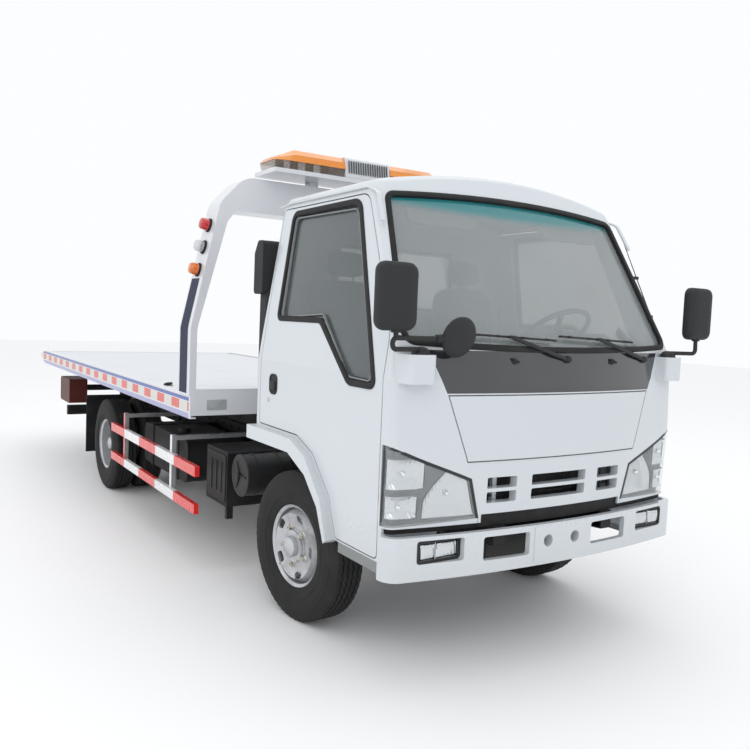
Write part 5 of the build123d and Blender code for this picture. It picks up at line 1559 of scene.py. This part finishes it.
def make_stage(look):
    """Pale floor, soft lights and the camera at the photograph's place."""
    scene = bpy.context.scene
    floor = Shape()
    middle = (CAD_BOX[0] + CAD_BOX[1]) / 2
    half = look.floor_size / 2
    floor.block((middle.x - half, middle.y - half, -0.02), (middle.x + half, middle.y + half, -0.0005))
    bmesh.ops.recalc_face_normals(floor.bm, faces=floor.bm.faces)
    ground = linked("studio_floor", mesh_of(floor.bm, "studio_floor"))
    ground.data.materials.append(FINISHES["floor"])

    world = bpy.data.worlds.new("soft_studio")
    world.use_nodes = True
    world.node_tree.nodes["Background"].inputs["Color"].default_value = (0.97, 0.985, 1.0, 1)
    world.node_tree.nodes["Background"].inputs["Strength"].default_value = look.sky_strength
    scene.world = world
    lamps = (   # name, place, aim, size, watts
        ("key", (9.0, -6.5, 7.0), (1.8, 0, 1.0), 6.0, 150.0),
        ("fill", (-1.0, -9.0, 5.0), (0.5, 0, 1.0), 7.0, 60.0),
        ("crown", (1.0, 1.0, 9.5), (0, 0, 0), 8.0, 120.0),
    )
    for name, spot, aim, size, power in lamps:
        light = bpy.data.lights.new(name, "AREA")
        light.size = size
        light.energy = power
        holder = linked(name, light)
        holder.location = spot
        holder.rotation_euler = (Vector(aim) - Vector(spot)).to_track_quat("-Z", "Y").to_euler()

    camera = bpy.data.cameras.new("camera")
    camera.sensor_width = 36.0
    camera.lens = camera.sensor_width * look.focal_pixels / PHOTO_WIDTH
    camera.shift_x = (PHOTO_WIDTH / 2 - AXIS_PIXEL[0]) / PHOTO_WIDTH
    camera.shift_y = (AXIS_PIXEL[1] - PHOTO_HEIGHT / 2) / PHOTO_WIDTH
    eye = linked("camera", camera)
    yaw, pitch, roll = CAMERA_YAW, CAMERA_PITCH, CAMERA_ROLL
    ahead = Vector((math.cos(pitch) * math.cos(yaw), math.cos(pitch) * math.sin(yaw), math.sin(pitch)))
    right = ahead.cross(Vector((0, 0, 1))).normalized()
    up = right.cross(ahead)
    across = right * math.cos(roll) + up * math.sin(roll)
    upward = up * math.cos(roll) - right * math.sin(roll)
    turn = Matrix((across, upward, -ahead)).transposed()
    eye.matrix_world = Matrix.Translation(place(*CAMERA_PLACE)) @ turn.to_4x4()
    scene.camera = eye
    scene.view_settings.view_transform = "Standard"


class TowTruckLook(bpy.types.PropertyGroup):
    """Sizes and colours that a user would change."""

    cab_white: FloatVectorProperty(name="Cab paint", description="Colour of the cab", subtype="COLOR",
                                   default=(0.60, 0.635, 0.665), min=0, max=1)
    bed_white: FloatVectorProperty(name="Bed paint", description="Colour of the bed and gantry",
                                   subtype="COLOR", default=(0.66, 0.675, 0.71), min=0, max=1)
    wheel_nuts: IntProperty(name="Wheel nuts", description="Nuts on each wheel", default=5, min=3, max=10)
    floor_size: FloatProperty(name="Floor", description="Side of the studio floor", default=60.0,
                              unit="LENGTH")
    sky_strength: FloatProperty(name="Sky", description="Strength of the even studio light", default=1.0)
    focal_pixels: FloatProperty(name="Focal length", description="Focal length in photograph pixels",
                                default=775.2)


def look():
    return bpy.context.scene.tow_truck_look


class TOWTRUCK_OT_finishes(bpy.types.Operator):
    """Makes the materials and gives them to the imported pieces"""

    bl_idname = "towtruck.finishes"
    bl_label = "Finishes"

    def execute(self, context):
        make_finishes(look())
        paint_cad_nodes()
        return {"FINISHED"}


class TOWTRUCK_OT_windows(bpy.types.Operator):
    """Makes the window rubbers and the drip rails"""

    bl_idname = "towtruck.windows"
    bl_label = "Window trim"

    def execute(self, context):
        make_window_trim()
        return {"FINISHED"}


class TOWTRUCK_OT_wheels(bpy.types.Operator):
    """Makes the tyres, nuts, hub caps and valves"""

    bl_idname = "towtruck.wheels"
    bl_label = "Wheels"

    def execute(self, context):
        make_wheels(look().wheel_nuts)
        return {"FINISHED"}


class TOWTRUCK_OT_headlamps(bpy.types.Operator):
    """Makes the headlamps"""

    bl_idname = "towtruck.headlamps"
    bl_label = "Headlamps"

    def execute(self, context):
        make_headlamps()
        return {"FINISHED"}


class TOWTRUCK_OT_mirrors(bpy.types.Operator):
    """Makes the mirrors and their arms"""

    bl_idname = "towtruck.mirrors"
    bl_label = "Mirrors"

    def execute(self, context):
        make_mirrors()
        return {"FINISHED"}


class TOWTRUCK_OT_wipers(bpy.types.Operator):
    """Makes the wipers and washer jets"""

    bl_idname = "towtruck.wipers"
    bl_label = "Wipers"

    def execute(self, context):
        make_wipers()
        return {"FINISHED"}


class TOWTRUCK_OT_doors(bpy.types.Operator):
    """Makes the handles and locks of the doors and the aerial"""

    bl_idname = "towtruck.doors"
    bl_label = "Door fittings"

    def execute(self, context):
        make_door_fittings()
        return {"FINISHED"}


class TOWTRUCK_OT_front(bpy.types.Operator):
    """Makes the trim of the cab's front, the bumper lamps and the black mesh of painted shade behind the
    grille
    """

    bl_idname = "towtruck.front"
    bl_label = "Front trim"

    def execute(self, context):
        make_front_details()
        return {"FINISHED"}


class TOWTRUCK_OT_gantry(bpy.types.Operator):
    """Makes the boards, marker lamps and light bar of the gantry"""

    bl_idname = "towtruck.gantry"
    bl_label = "Gantry"

    def execute(self, context):
        make_gantry_fittings()
        make_light_bar()
        return {"FINISHED"}


class TOWTRUCK_OT_bed(bpy.types.Operator):
    """Makes the plates, tie-down ring and wound rope of the bed"""

    bl_idname = "towtruck.bed"
    bl_label = "Bed fittings"

    def execute(self, context):
        make_bed_fittings()
        return {"FINISHED"}


class TOWTRUCK_OT_chassis(bpy.types.Operator):
    """Makes the tail lamps, bolts and fittings of the chassis"""

    bl_idname = "towtruck.chassis"
    bl_label = "Chassis fittings"

    def execute(self, context):
        make_tail_lamps()
        make_chassis_fittings()
        return {"FINISHED"}


class TOWTRUCK_OT_interior(bpy.types.Operator):
    """Makes the inside of the cab"""

    bl_idname = "towtruck.interior"
    bl_label = "Interior"

    def execute(self, context):
        make_interior()
        make_seats()
        return {"FINISHED"}


class TOWTRUCK_OT_stage(bpy.types.Operator):
    """Makes the floor, the lights and the camera"""

    bl_idname = "towtruck.stage"
    bl_label = "Stage"

    def execute(self, context):
        make_stage(look())
        return {"FINISHED"}


STEPS = (
    TOWTRUCK_OT_finishes, TOWTRUCK_OT_windows, TOWTRUCK_OT_wheels, TOWTRUCK_OT_headlamps,
    TOWTRUCK_OT_mirrors, TOWTRUCK_OT_wipers, TOWTRUCK_OT_doors, TOWTRUCK_OT_front, TOWTRUCK_OT_gantry,
    TOWTRUCK_OT_bed, TOWTRUCK_OT_chassis, TOWTRUCK_OT_interior, TOWTRUCK_OT_stage,
)


class TOWTRUCK_PT_panel(bpy.types.Panel):
    """Lists the steps and sizes of the tow truck"""

    bl_idname = "TOWTRUCK_PT_panel"
    bl_label = "Tow truck"
    bl_space_type = "VIEW_3D"
    bl_region_type = "UI"
    bl_category = "Tow truck"

    def draw(self, context):
        for name in TowTruckLook.__annotations__:
            self.layout.prop(look(), name)
        for step in STEPS:
            self.layout.operator(step.bl_idname)


CLASSES = (TowTruckLook, *STEPS, TOWTRUCK_PT_panel)


def register():
    for kind in CLASSES:
        bpy.utils.register_class(kind)
    bpy.types.Scene.tow_truck_look = PointerProperty(type=TowTruckLook)


def unregister():
    del bpy.types.Scene.tow_truck_look
    for kind in reversed(CLASSES):
        bpy.utils.unregister_class(kind)


def main():
    """Builds everything in order."""
    register()
    for step in STEPS:
        group, name = step.bl_idname.split(".")
        getattr(getattr(bpy.ops, group), name)()


if __name__ == "__main__":
    main()
